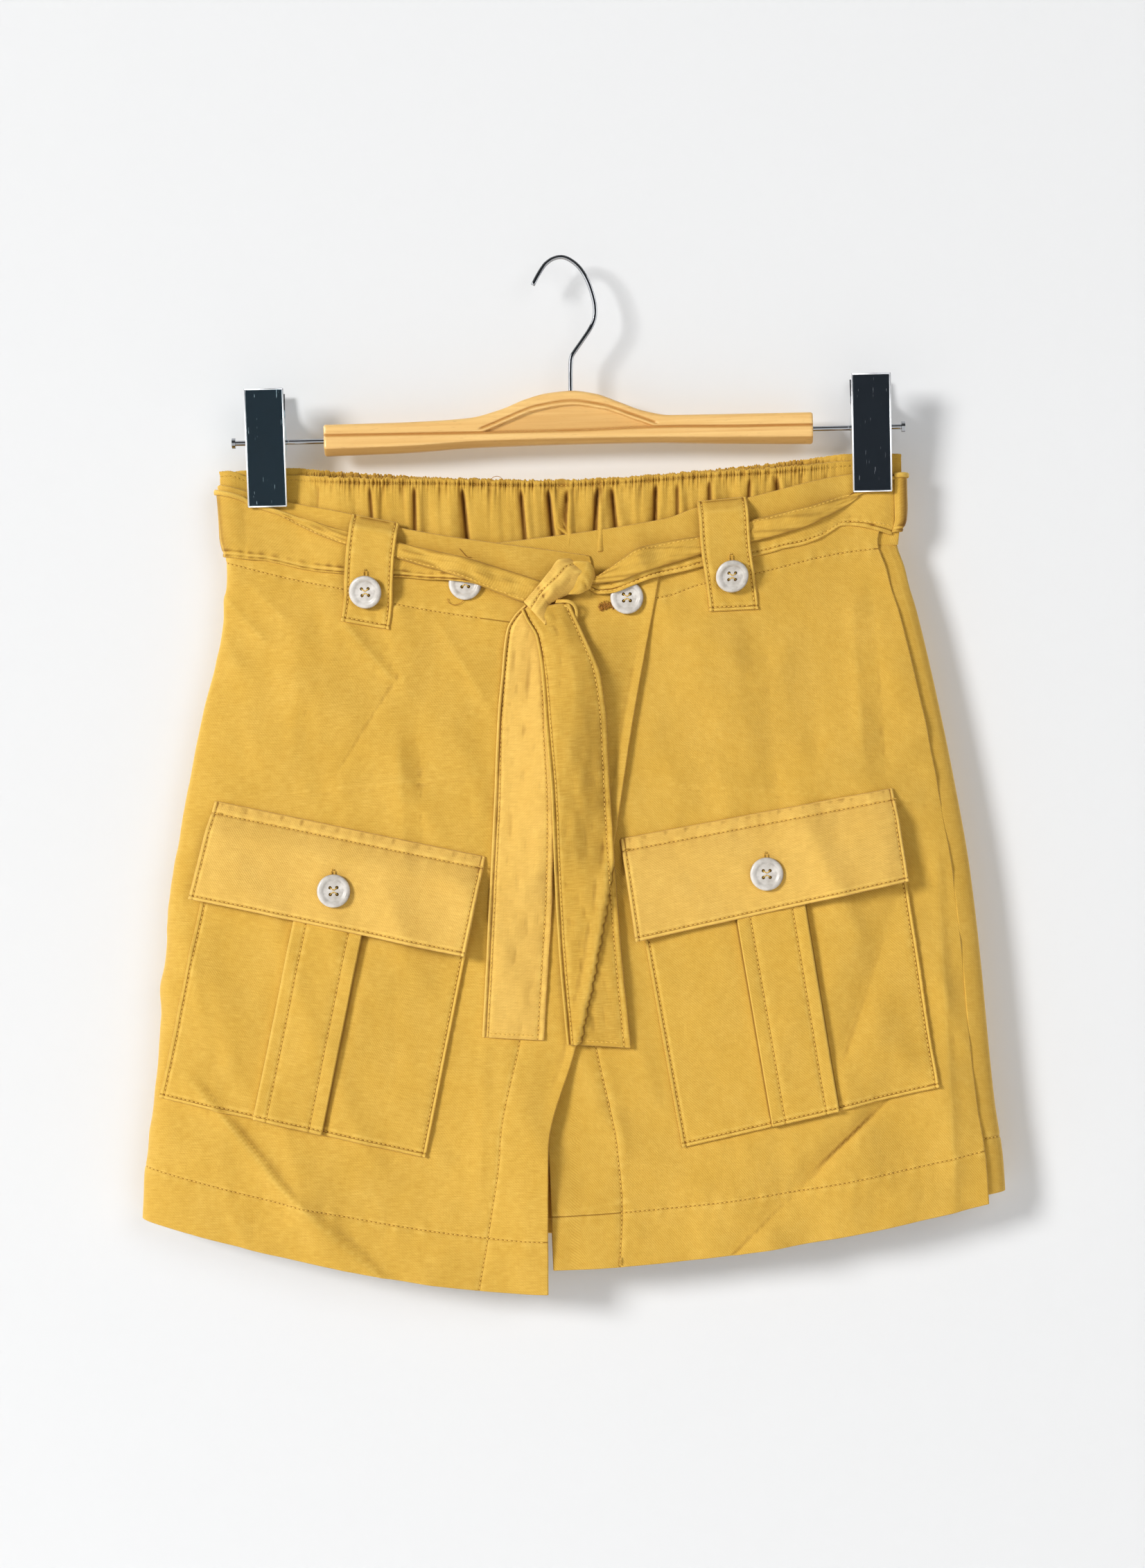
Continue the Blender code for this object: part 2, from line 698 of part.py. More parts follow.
def button(item, group, mat):
    """A four-hole button's blank, a dished disc with a raised rim, seated on its cloth."""
    profile = [(0, 1.5), (6.2, 1.5), (7.6, 2.6), (9.0, 2.1), (BUTTON_RADIUS, 1.2), (8.2, 0), (0, 0)]
    obj = turned(item.name, profile, 16, mat, group)
    reach = 0.8 * BUTTON_RADIUS
    spot = host_point(item.host, item.x, item.height)

    def near(right, up):
        return host_point(item.host, item.x + right, item.height + up)

    facing = (near(reach, 0) - near(-reach, 0)).cross(near(0, reach) - near(0, -reach)).normalized()
    turns = [k * math.pi / 6 for k in range(12)]
    rim = [near(r * BUTTON_RADIUS * math.cos(a), r * BUTTON_RADIUS * math.sin(a))
           for a in turns for r in (0.5, 0.9)]
    seat = max(0.0, max((p - spot).dot(facing) for p in rim))
    spot += facing * (seat + GAP)
    obj.matrix_world = (Matrix.Translation(spot * MM)
                        @ facing.to_track_quat("Z", "Y").to_matrix().to_4x4())
    return obj


# ---------------------------------------------------------------- belt
def belt_base(x):
    """The inner face of the belt over the panels, higher where they overlap and over the buttons."""
    overlap = ease((x + 125) / 25) * ease((78 - x) / 20)
    bumps = sum(math.exp(-((x - item.x) / 15) ** 2) for item in BUTTONS if item.host == "panel")
    return LAYER + GAP + LOOSE + (LAYER + LOOSE) * overlap + BUTTON_BUMP * min(bumps, 1)


def belt_path(row, x):
    """Heights and lifts across the belt at mid cloth: up the main part and over its fold."""
    low = belt_base(x) + CLOTH / 2
    bend_height = row.top - BELT_BEND
    path = [(row.bottom, low), ((row.bottom + bend_height) / 2, low), (bend_height, low)]
    for degrees in (60, 120, 180):
        a = math.radians(degrees)
        path.append((bend_height + BELT_BEND * math.sin(a), low + BELT_BEND * (1 - math.cos(a))))
    path += [(bend_height - row.flap * part, low + LAYER) for part in (0.5, 1.0)]
    return path


def belt_front(name, table, count, mat, group):
    """A stretch of the belt over the front, folded lengthwise along its upper edge."""
    first, last = table[0].x, table[-1].x
    columns = []
    for i in range(count + 1):
        x = mix(first, last, i / count)
        row = Belt(x, *(smooth_read(table, "x", column, x) for column in ("top", "bottom", "flap")))
        columns.append([front(x, height, lift) for height, lift in belt_path(row, x)])
    rows = [list(row) for row in zip(*columns)]
    return wall(name, rows, mat, group, outward=0)


SIDE_SHARES = [0, 0.006, 0.013, 0.02, 0.028, 0.036, 0.045, 0.057, 0.072, 0.09, 0.115, 0.15, 0.2]
BACK_SHARES = SIDE_SHARES + [0.3, 0.4, 0.5, 0.6, 0.7] + [1 - share for share in reversed(SIDE_SHARES)]


def belt_back(mat, group):
    """The stretch that turns round both sides and lies across the back."""
    rows = []
    for part in (0.0, 0.5, 1.0):
        row = []
        reference = mix(-160.0, -124.0, part)
        start = angle_at(BELT_RIGHT[-1].x + GAP, reference)
        end = angle_at(BELT_LEFT[0].x - GAP, reference) + 2 * math.pi
        for angle in spread(start, end, BACK_SHARES, reference):
            x = ring(angle, reference)[0]
            sag = BELT_BACK_SAG * (1 - (x / 200.0) ** 2)
            height = BELT_BACK_TOP - sag - BELT_WIDTH * (1 - part)
            side_bulge = 2.0 * ease((x - 183) / 8)
            row.append(body(angle, height, LAYER + GAP + 2 * LOOSE + side_bulge * ease((angle - start) / 0.3)))
        rows.append(row)
    return wall("belt_back", rows, mat, group)


def knot(mat, group):
    """The knot's wrap: rounded sections from its upper end down to its foot."""
    rings, around = 9, 12
    axis = Vector((KNOT_FOOT[0] - KNOT_TOP[0], 0, KNOT_FOOT[1] - KNOT_TOP[1])).normalized()
    side = axis.cross(Vector((0, 1, 0)))
    rows = []
    for i in range(rings + 1):
        along = i / rings
        half = smooth_read(KNOT, "along", "half_width", along)
        deep = smooth_read(KNOT, "along", "thickness", along)
        x, height = (mix(a, b, along) for a, b in zip(KNOT_TOP, KNOT_FOOT))
        reach = (-KNOT_REACH, 0, KNOT_REACH)
        back = min(front(x + a, height + b, KNOT_LIFT).y for a in reach for b in reach)
        centre = Vector((x, back - deep / 2, height))
        ringlet = []
        for k in range(around):
            a = 2 * math.pi * k / around
            ringlet.append(centre + side * half * signed_power(math.cos(a), 0.85)
                           + Vector((0, deep / 2 * signed_power(math.sin(a), 0.7), 0)))
        rows.append(ringlet)
    mesh = bpy.data.meshes.new("belt_knot")
    bm = bmesh.new()
    loops = [[bm.verts.new(p * MM) for p in ringlet] for ringlet in rows]
    for lower, upper in zip(loops, loops[1:]):
        for k in range(around):
            m = (k + 1) % around
            bm.faces.new((lower[k], lower[m], upper[m], upper[k]))
    bm.faces.new(loops[0][::-1])
    bm.faces.new(loops[-1])
    bmesh.ops.recalc_face_normals(bm, faces=bm.faces)
    bm.to_mesh(mesh)
    bm.free()
    obj = add("belt_knot", mesh, mat, group)
    obj.data.shade_smooth()
    return obj


def tail(name, table, lift, mat, group):
    """A free end of the belt, hanging from the knot over the panels."""
    top, bottom = table[0].height, table[-1].height
    rows = []
    for i in range(13):
        height = mix(bottom, top, i / 12)
        left = smooth_read(table, "height", "left", height)
        right = smooth_read(table, "height", "right", height)
        row = []
        for k in range(4):
            x = mix(left, right, k / 3)
            row.append(front(x, height, 2 * LAYER + LOOSE + GAP + LOOSE + lift))
        rows.append(row)
    return wall(name, rows, mat, group)


# ---------------------------------------------------------------- hanger
def hook(mat, group):
    """The wire hook: a round crook, a slanting neck and a stem into the bar."""
    centre = -HOOK_RADIUS + WIRE_RADIUS
    points = []
    for degrees in range(168, -25, -12):
        a = math.radians(degrees)
        points.append((HOOK_RADIUS * math.cos(a), centre + HOOK_RADIUS * math.sin(a)))
    points += [(12.0, -37.5), (5.2, -49.0), (2.6, -54.0), (STEM_X, -59.0), (STEM_X, -72.0), (STEM_X, STEM_FOOT)]
    curve = bpy.data.curves.new("hook", "CURVE")
    curve.dimensions = "3D"
    curve.bevel_depth = WIRE_RADIUS * MM
    curve.bevel_resolution = 2
    curve.use_fill_caps = True
    spline = curve.splines.new("POLY")
    spline.points.add(len(points) - 1)
    for spot, (x, z) in zip(spline.points, points):
        spot.co = (x * MM, 0, z * MM, 1)
    return add("hook", curve, mat, group)


def bar_top(x):
    swell = math.cos(math.pi / 2 * min(abs(x - STEM_X) / HUMP_REACH, 1.0)) ** 2
    return BAR_TOP + HUMP_HEIGHT * swell


def bar(mat, group, cutters):
    """The wooden bar with its hump, its shallow front recess and the bores for wire and rods."""
    upright = Matrix.Rotation(math.pi / 2, 4, "X")
    steps = 34
    xs = [mix(-BAR_END, BAR_END, i / steps) for i in range(steps + 1)]
    outline = [(x, bar_top(x)) for x in xs]
    outline += [(x, BAR_FOOT + BAR_ARCH * (1 - (x / BAR_END) ** 2)) for x in reversed(xs[::2])]
    obj = outline_solid("hanger_bar", outline, BAR_DEPTH / 2, upright, mat, group)
    rounding = obj.modifiers.new("rounding", "BEVEL")
    rounding.width = 1.2 * MM
    rounding.segments = 1
    rounding.limit_method = "ANGLE"
    rounding.angle_limit = math.radians(50)
    xs = [STEM_X + RECESS_REACH * math.sin(math.pi / 2 * i / 8) for i in range(-8, 9)]
    recess = [(x, bar_top(x) - RECESS_BELOW_TOP) for x in xs]
    recess += [(xs[-1], RECESS_FOOT), (xs[0], RECESS_FOOT)]
    face = Matrix.Translation((0, -BAR_DEPTH / 2 * MM, 0)) @ upright
    cut(obj, outline_solid("recess_cutter", recess, 0.9, face, None, cutters))
    bore = BAR_END - ROD_SEAT - 1
    cut(obj, rod_cutter("bore_left", ROD_RADIUS + GAP, -BAR_END - 5, -bore, cutters))
    cut(obj, rod_cutter("bore_right", ROD_RADIUS + GAP, bore, BAR_END + 5, cutters))
    bpy.ops.mesh.primitive_cylinder_add(vertices=16, radius=(WIRE_RADIUS + GAP) * MM, depth=14 * MM,
                                        location=(STEM_X * MM, 0, -77.4 * MM))
    stem_bore = bpy.context.object
    stem_bore.name = "stem_bore"
    for owner in list(stem_bore.users_collection):
        owner.objects.unlink(stem_bore)
    cutters.objects.link(stem_bore)
    cut(obj, stem_bore)
    return obj


def rod(name, side, mat, group):
    """A rod out of the bar's end with a flat stop on it."""
    length = ROD_END - BAR_END + ROD_SEAT
    profile = [(0, length), (3.0, length), (3.0, length - 2), (ROD_RADIUS, length - 2), (ROD_RADIUS, 0), (0, 0)]
    obj = turned(name, profile, 12, mat, group)
    obj.matrix_world = (Matrix.Translation((side * (BAR_END - ROD_SEAT) * MM, 0, ROD_HEIGHT * MM))
                        @ Matrix.Rotation(side * math.pi / 2, 4, "Y"))
    return obj


def jaw(name, x, facing, grip, width, mat, group, cutters):
    """One leaf of a clip: a sloping plate with two ears round the rod. facing is -1 at the front."""
    ear_reach = 3.4

    def plate_y(height):
        share = (height - CLIP_BOTTOM) / (CLIP_TOP - CLIP_BOTTOM)
        return grip + (CLIP_OPEN - grip) * share

    outline = [
        (plate_y(CLIP_BOTTOM), CLIP_BOTTOM), (plate_y(CLIP_BOTTOM) + PLATE, CLIP_BOTTOM),
        (plate_y(CLIP_TOP) + PLATE, CLIP_TOP), (plate_y(CLIP_TOP), CLIP_TOP),
        (plate_y(-82), -82), (-ear_reach, ROD_HEIGHT + ear_reach), (-ear_reach, ROD_HEIGHT - ear_reach),
        (plate_y(-112), -112),
    ]
    points = [(facing * y, z) for y, z in outline]
    place = Matrix(((0, 0, 1, x * MM), (1, 0, 0, 0), (0, 1, 0, 0), (0, 0, 0, 1)))
    obj = outline_solid(name, points, width / 2, place, mat, group)
    inner = 0.3   # web left standing on the plate between the ears
    room = [(facing * y, z) for y, z in ((-8, -76), (plate_y(-76) - inner, -76),
                                         (plate_y(-118) - inner, -118), (-8, -118))]
    cut(obj, outline_solid(name + "_room", room, width / 2 - 1.0, place, None, cutters))
    cut(obj, rod_cutter(name + "_bore", ROD_RADIUS + GAP, x - 20, x + 20, cutters))
    return obj


def spring(name, x, mat, group):
    """The clip's spring, as a sleeve round the rod between the ears."""
    half = CLIP_WIDTH / 2 - 3.4
    inner, outer = ROD_RADIUS + GAP, 3.6
    profile = [(inner, half), (outer, half), (outer, -half), (inner, -half), (inner, half)]
    obj = turned(name, profile, 12, mat, group)
    obj.matrix_world = Matrix.Translation((x * MM, 0, ROD_HEIGHT * MM)) @ Matrix.Rotation(math.pi / 2, 4, "Y")
    return obj


# ---------------------------------------------------------------- the whole
def main():
    empty_scene()
    shorts = collection("shorts_on_hanger")
    cutters = collection("cutters")
    twill = material("mustard_twill", (0.56, 0.34, 0.06), 0.85)
    shell = material("button_shell", (0.62, 0.60, 0.56), 0.35)
    wood = material("beech", (0.62, 0.36, 0.15), 0.5)
    chrome = material("chrome", (0.6, 0.62, 0.65), 0.12, 1.0)

    waistband("waistband_front", front_span, FRONT_SAG, twill, shorts)
    waistband("waistband_back", back_span, 0.0, twill, shorts)
    leg_half("front_left", False, False, FRONT_HEMS[0], 0, twill, shorts)
    leg_half("front_right", True, False, FRONT_HEMS[1], 0, twill, shorts)
    leg_half("back_left", False, True, BACK_HEMS[0], LEG_WAVES, twill, shorts)
    leg_half("back_right", True, True, BACK_HEMS[1], LEG_WAVES, twill, shorts)
    upper_panel(twill, shorts)
    lower_panel(twill, shorts)
    pocket("pocket_left", POCKET_LEFT, twill, shorts)
    pocket("pocket_right", POCKET_RIGHT, twill, shorts)
    flap("flap_left", FLAP_LEFT, twill, shorts)
    flap("flap_right", FLAP_RIGHT, twill, shorts)
    tab("tab_left", TAB_LEFT, twill, shorts)
    tab("tab_right", TAB_RIGHT, twill, shorts)
    for item in BUTTONS:
        button(item, shorts, shell)
    belt_front("belt_left", BELT_LEFT, 20, twill, shorts)
    belt_front("belt_right", BELT_RIGHT, 20, twill, shorts)
    belt_back(twill, shorts)
    knot(twill, shorts)
    tail("belt_tail_left", TAIL_LEFT, 0.0, twill, shorts)
    tail("belt_tail_right", TAIL_RIGHT, LAYER + LOOSE, twill, shorts)

    hook(chrome, shorts)
    bar(wood, shorts, cutters)
    for side, word in ((-1, "left"), (1, "right")):
        rod("rod_" + word, side, chrome, shorts)
        x = side * CLIP_X
        jaw("clip_front_" + word, x, -1, GRIP_FRONT, CLIP_WIDTH, chrome, shorts, cutters)
        jaw("clip_back_" + word, x, 1, GRIP_BACK, CLIP_WIDTH - 2.8, chrome, shorts, cutters)
        spring("clip_spring_" + word, x, chrome, shorts)


main()
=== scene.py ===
"""The looks of mustard wrap-front shorts that hang from a wooden clip hanger.

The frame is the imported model's: +X is the right as the front is seen, +Y points behind the
shorts and +Z is up. The form is worked out in millimetres and scaled when a mesh is made.
"""
import math
from collections import namedtuple

import bmesh
import bpy
import numpy as np
from mathutils import Matrix, Vector


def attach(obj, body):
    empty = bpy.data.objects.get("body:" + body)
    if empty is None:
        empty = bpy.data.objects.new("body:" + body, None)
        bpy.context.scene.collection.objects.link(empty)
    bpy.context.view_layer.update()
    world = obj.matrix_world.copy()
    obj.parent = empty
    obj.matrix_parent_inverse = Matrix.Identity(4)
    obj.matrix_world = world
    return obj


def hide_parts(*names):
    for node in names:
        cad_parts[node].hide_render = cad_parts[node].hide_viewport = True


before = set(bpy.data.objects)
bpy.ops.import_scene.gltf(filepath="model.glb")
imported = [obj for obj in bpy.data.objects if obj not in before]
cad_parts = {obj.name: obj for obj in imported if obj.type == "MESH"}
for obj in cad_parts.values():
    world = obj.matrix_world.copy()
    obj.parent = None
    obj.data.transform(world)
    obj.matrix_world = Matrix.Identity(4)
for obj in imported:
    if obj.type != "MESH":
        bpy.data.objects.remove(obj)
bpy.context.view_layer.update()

MM = 0.001
TURN = 2 * math.pi

# ---------------------------------------------------------------- the form, close to the solids'
CLOTH = 1.0
GAP = 0.3
LAYER = CLOTH + GAP
LOOSE = 0.35
SLACK = 1.4
SEAM = 0.2
ROUND = 0.6
BAND_BOTTOM = -165.0
BAND_TOP = -123.0
BAND_SAG = 10.0
FRONT_SAG = 4.0
CROTCH = -400.0
CROTCH_CURVE = 100.0
INSEAM_ROLL = 28.0
INSEAM_GAP = 0.65
SEAM_DIP = 20.0
LEG_PARTING = 5.0
SIDE_BEHIND = 8.0
SIDE_BEFORE = 12.0
CLIP_X = 170.8
CLIP_WIDTH = 22.0
CLIP_BOTTOM = -135.0
CLIP_FLAT = GAP / 2 + CLOTH
FACING_RAMP = 26.0
FACING_LEAD = 10.0
SLIT_CURL = 5.0
BUTTON_RADIUS = 9.35

SECTIONS = np.array([   # height, left, right, front, back
    (-105, -198.5, 188.2, 7.0, 7.0), (-150, -197.0, 187.9, 7.8, 7.8), (-163, -195.2, 184.8, 8.4, 8.1),
    (-178, -196.2, 189.1, 9.0, 8.5), (-189, -198.0, 191.5, 9.6, 8.9),
    (-200, -198.8, 194.7, 10.2, 9.3), (-250, -212.0, 205.5, 12.0, 10.5), (-300, -222.0, 214.4, 13.5, 11.5),
    (-350, -229.5, 221.8, 15.0, 12.5), (-400, -234.8, 226.3, 16.0, 13.0), (-450, -240.0, 229.5, 17.0, 13.5),
    (-480, -244.0, 231.8, 17.5, 14.0), (-515, -251.5, 236.0, 18.0, 14.5), (-600, -254.0, 238.5, 19.0, 15.0),
])
UPPER_EDGE = [(-181, 48.5), (-260, 32.0), (-332, 19.0), (-443, -5.0), (-499, -21.6), (-585, -24.0)]
LOWER_EDGE = [(-150, -80.0), (-449, -31.0), (-499, -21.2), (-572, -20.0)]
UPPER_TOP = [(-196, -122), (-159, -132.4), (-124, -140.5), (-97, -149), (10, -167.7)]
LOWER_TOP = [(-80, -163), (53, -147.8), (71, -142), (99, -137.2), (157, -125), (196, -122)]
UPPER_NOTCH = (10, -180)


def smooth_curve(pairs):
    """A smooth curve through place and value pairs, as a function of arrays."""
    places, values = np.array(sorted(pairs), float).T
    spans = np.diff(places)
    steps = np.diff(values) / spans
    product, total = steps[:-1] * steps[1:], steps[:-1] + steps[1:]
    slopes = np.concatenate(([steps[0]], np.where(product > 0, 2 * product / np.where(total, total, 1), 0),
                             [steps[-1]]))

    def read(at):
        at = np.clip(at, places[0], places[-1])
        i = np.clip(np.searchsorted(places, at, side="right") - 1, 0, len(spans) - 1)
        t = (at - places[i]) / spans[i]
        start, end = slopes[i] * spans[i], slopes[i + 1] * spans[i]
        rise = values[i + 1] - values[i]
        return (values[i] + t * start + t * t * (3 * rise - 2 * start - end)
                + t ** 3 * (start + end - 2 * rise))

    return read


def ease(t):
    t = np.clip(t, 0.0, 1.0)
    return t * t * (3 - 2 * t)


def mix(a, b, t):
    return a + (b - a) * t


def bell(distance, width):
    return np.exp(-(distance / width) ** 2)


def signed_power(value, power):
    return np.sign(value) * np.abs(value) ** power


def running(steps):
    """Distances from the start, before the first step and after each."""
    total = np.cumsum(steps, axis=0)
    return np.concatenate((0 * total[:1], total))


SIDE_LEFT, SIDE_RIGHT, DEPTH_FRONT, DEPTH_BACK = (
    smooth_curve(zip(SECTIONS[:, 0], SECTIONS[:, i])) for i in range(1, 5))
upper_edge, lower_edge = smooth_curve(UPPER_EDGE), smooth_curve(LOWER_EDGE)
upper_top, lower_top = smooth_curve(UPPER_TOP), smooth_curve(LOWER_TOP)


def pinch(x, z):
    """1 where a clip presses the waist flat, 0 away from it."""
    inward = np.abs(x) - CLIP_X
    reach = np.where(inward < 0, 34.0, 12.0)
    across = 1 - ease((np.abs(inward) - 0.55 * CLIP_WIDTH) / reach)
    return across * (1 - ease((CLIP_BOTTOM - 3 - z) / 75.0))


def ring(angle, z):
    """A point on the body's outer face: 0 is the left side, a quarter turn the front."""
    left, right = SIDE_LEFT(z), SIDE_RIGHT(z)
    x = (left + right) / 2 - (right - left) / 2 * signed_power(np.cos(angle), ROUND)
    sine = np.sin(angle)
    y = np.where(sine > 0, DEPTH_FRONT(z), DEPTH_BACK(z)) * np.abs(sine) ** ROUND
    y = np.where(y > CLIP_FLAT, CLIP_FLAT + (y - CLIP_FLAT) * (1 - pinch(x, z)), y)
    return x, np.where(sine > 0, -y, y)


def body(angle, z, lift=0.0):
    """Points at a lift outside the ring."""
    step = 0.004
    x0, y0 = ring(angle - step, z)
    x1, y1 = ring(angle + step, z)
    length = np.hypot(x1 - x0, y1 - y0)
    x, y = ring(angle, z)
    return np.stack(np.broadcast_arrays(x + lift * (y1 - y0) / length, y - lift * (x1 - x0) / length,
                                        z + 0.0 * angle), axis=-1)


def angle_at(x, z):
    left, right = SIDE_LEFT(z), SIDE_RIGHT(z)
    share = np.clip(((left + right) / 2 - x) / ((right - left) / 2), -0.9995, 0.9995)
    return np.arccos(signed_power(share, 1 / ROUND))


def left_seam(z):
    return -angle_at(SIDE_LEFT(z) + SIDE_BEHIND, z)


def right_seam(z):
    return angle_at(SIDE_RIGHT(z) - SIDE_BEFORE, z)


class Span:
    """A stretch of the ring between two angles that change with the height."""

    def __init__(self, start, end):
        self.heights = np.arange(-620.0, -99.0, 3.0)
        self.shares = np.linspace(0, 1, 201)
        self.table = np.empty((len(self.heights), len(self.shares)))
        self.lengths = np.empty(len(self.heights))
        for i, z in enumerate(self.heights):
            angles = np.linspace(start(z), end(z), 500)
            x, y = ring(angles, z)
            along = running(np.hypot(np.diff(x), np.diff(y)))
            self.lengths[i] = along[-1]
            self.table[i] = np.interp(self.shares * along[-1], along, angles)

    def length(self, z):
        return np.interp(z, self.heights, self.lengths)

    def angle(self, share, z):
        row = np.clip((z - self.heights[0]) / 3.0, 0, len(self.heights) - 1.001)
        column = np.clip(share * 200, 0, 199.999)
        i, j = row.astype(int), column.astype(int)
        a, b = row - i, column - j
        low = mix(self.table[i, j], self.table[i, j + 1], b)
        high = mix(self.table[i + 1, j], self.table[i + 1, j + 1], b)
        return mix(low, high, a)


# ---------------------------------------------------------------- folds in the hanging cloth
Crease = namedtuple("Crease", "x0 z0 x1 z1 rise left right")   # widths on either side of its line
CREASES = [Crease(*row) for row in (
    # the left panel: two sharp ridges at the hem's corner, then soft ones
    (-217, -461, -173, -516, 2.2, 9, 3.2), (-176, -515, -118, -569, 1.9, 11, 3.6),
    (-196, -299, -52, -289, 0.6, 2.4, 7), (-100, -270, -98, -330, 1.0, 12, 5),
    (-89, -272, -88, -330, -0.8, 6, 10), (-75, -205, -49, -252, 1.1, 5, 7),
    (-128, -203, -102, -235, 1.0, 5, 4), (-101, -234, -134, -284, -0.7, 5, 5),
    (-198, -184, -175, -210, 1.4, 7, 4), (-186, -173, -163, -199, 0.8, 4, 3.5),
    (-155, -202, -161, -280, 1.5, 17, 12), (-108, -192, -94, -243, 0.8, 7, 6),
    (-207, -397, -197, -459, 1.0, 9, 14), (-105, -398, -107, -460, -0.7, 9, 8),
    (-221, -375, -212, -434, 0.9, 6, 10), (-54, -420, -60, -520, 1.1, 8, 9),
    # the right panel
    (166, -481, 124, -519, -2.6, 6, 4), (126, -519, 73, -568, -2.2, 13, 5),
    (38, -296, 207, -312, 0.5, 2.4, 5), (107, -218, 111, -302, -1.8, 17, 12),
    (157, -194, 161, -284, 1.2, 8, 9), (169, -194, 173, -284, -0.9, 8, 7),
    (132, -209, 134, -287, -1.0, 12, 9), (180, -360, 148, -446, -2.6, 7, 9),
    (10, -475, 41, -484, -1.3, 8, 7), (-11, -535, 63, -525, 1.2, 7, 6),
    (14, -456, 21, -503, 1.3, 8, 12), (202, -347, 206, -531, 1.3, 12, 4),
    (150, -330, 178, -318, 0.6, 5, 5),
)]


LATTICE = np.random.RandomState(7).uniform(-1, 1, (64, 64))
DEEPEST = 3.0       # the hidden fronts hang further in than this


def rolling(x, z, width, height, shift=0):
    """Smooth random hills of about a width and height, between -1 and 1."""
    a, b = x / width + 31.0 + shift, z / height + 77.0 + shift
    i, j = np.floor(a).astype(int), np.floor(b).astype(int)
    s, t = ease(a - i), ease(b - j)
    i, j, k, m = i % 64, j % 64, (i + 1) % 64, (j + 1) % 64
    return mix(mix(LATTICE[i, j], LATTICE[k, j], s), mix(LATTICE[i, m], LATTICE[k, m], s), t)


def crumple(x, z):
    """The uneven surface of washed cotton: slow hills, a few soft ridges and small puckers."""
    bent = x + 9 * rolling(x, z, 60, 60, 5)
    ridges = 0.3 - np.sqrt(rolling(bent + 0.35 * z, z - 0.2 * x, 36, 58, 11) ** 2 + 0.02)
    cross = 0.3 - np.sqrt(rolling(bent - 0.5 * z, z + 0.4 * x, 44, 40, 23) ** 2 + 0.02)
    hills = rolling(x, z, 48, 75, 3)
    return (2.3 * hills + 3.3 * ridges + 2.2 * cross + 0.4 * rolling(x, z, 9, 14, 17)
            + 0.14 * rolling(x, z, 4, 6, 29))


def folds(x, z):
    """How far the front cloth stands out or in, from its creases and its crumpled surface."""
    total = crumple(x, z)
    for c in CREASES:
        length = math.hypot(c.x1 - c.x0, c.z1 - c.z0)
        tx, tz = (c.x1 - c.x0) / length, (c.z1 - c.z0) / length
        along = (x - c.x0) * tx + (z - c.z0) * tz
        across = (x - c.x0) * tz - (z - c.z0) * tx
        width = np.where(across > 0, c.left, c.right)
        fade = (ease((along + 0.25 * length) / (0.4 * length))
                * ease((1.25 * length - along) / (0.4 * length)))
        total = total + 1.45 * c.rise * fade * np.exp(-(np.sqrt((across / width) ** 2 + 0.03) - 0.17) * 1.3)
    calm = 1 - pinch(x, z)
    below_waist = ease((-128 - z) / 60)
    total = np.where(total < 0, -DEEPEST * np.tanh(-total / DEEPEST), total)
    return total * calm * below_waist


def ripple(s, phase=0.0):
    """The uneven pucker along a row of stitches."""
    return (0.6 * np.sin(s * TURN / 7.3 + 1.3 * np.sin(s * 0.11 + phase))
            + 0.4 * np.sin(s * TURN / 12.1 + phase))


def seam_dip(distance, along, phase=0.0):
    """The groove of a row of stitches and the pucker about it."""
    return -0.6 * bell(distance, 0.85) + 0.3 * bell(distance, 4.0) * ripple(along, phase)


# ---------------------------------------------------------------- mesh helpers
def grid_normals(points):
    along = np.gradient(points, axis=1)
    up = np.gradient(points, axis=0)
    normal = np.cross(along, up)
    return normal / np.maximum(np.linalg.norm(normal, axis=-1, keepdims=True), 1e-9)


def linked(name, data):
    obj = bpy.data.objects.new(name, data)
    bpy.context.scene.collection.objects.link(obj)
    return obj


def new_object(name, verts, faces, mat):
    """A smooth mesh object from places in millimetres."""
    mesh = bpy.data.meshes.new(name)
    mesh.from_pydata((np.asarray(verts) * MM).tolist(), [], faces)
    mesh.materials.append(mat)
    mesh.update()
    obj = linked(name, mesh)
    mesh.shade_smooth()
    return obj


def finish_piece(obj, slot, *nodes):
    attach(obj, "root")
    if nodes:
        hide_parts(*nodes)
    return obj


def grid_faces(rows, cols, offset=0, flip=False):
    r, c = np.meshgrid(np.arange(rows - 1), np.arange(cols - 1), indexing="ij")
    a = (r * cols + c).ravel() + offset
    quads = np.stack([a, a + 1, a + cols + 1, a + cols], axis=1)
    return quads[:, ::-1] if flip else quads


def put_uv(obj, uv):
    """Cloth coordinates in centimetres, for the weave."""
    layer = obj.data.uv_layers.new(name="cloth")
    loops = np.empty(len(obj.data.loops), np.int32)
    obj.data.loops.foreach_get("vertex_index", loops)
    layer.data.foreach_set("uv", (np.asarray(uv)[loops] * 0.1).ravel())


# the bend values below become painted shade in valleys and painted highlight on ridges
FOLD_GAIN = 2.1       # a fold of this radius in millimetres shows fully
RIM_WEAR = -0.5       # the paler, rubbed edge of a piece


def bending(points, normal):
    """How much a grid bends at each point: above 0 in a valley, below 0 on a ridge, in 1/mm."""
    total = np.zeros(points.shape[:2])
    for axis in (0, 1):
        step = np.linalg.norm(np.diff(points, axis=axis), axis=-1)
        unit = np.diff(points, axis=axis) / np.maximum(step, 1e-6)[..., None]
        inner = [slice(None), slice(None)]
        inner[axis] = slice(1, -1)
        before, after = (np.take(step, range(*span), axis=axis) for span in
                         ((0, step.shape[axis] - 1), (1, step.shape[axis])))
        turn = np.diff(unit, axis=axis) / ((before + after) / 2)[..., None]
        total[tuple(inner)] += np.einsum("ijk,ijk->ij", turn, normal[tuple(inner)])
    return total


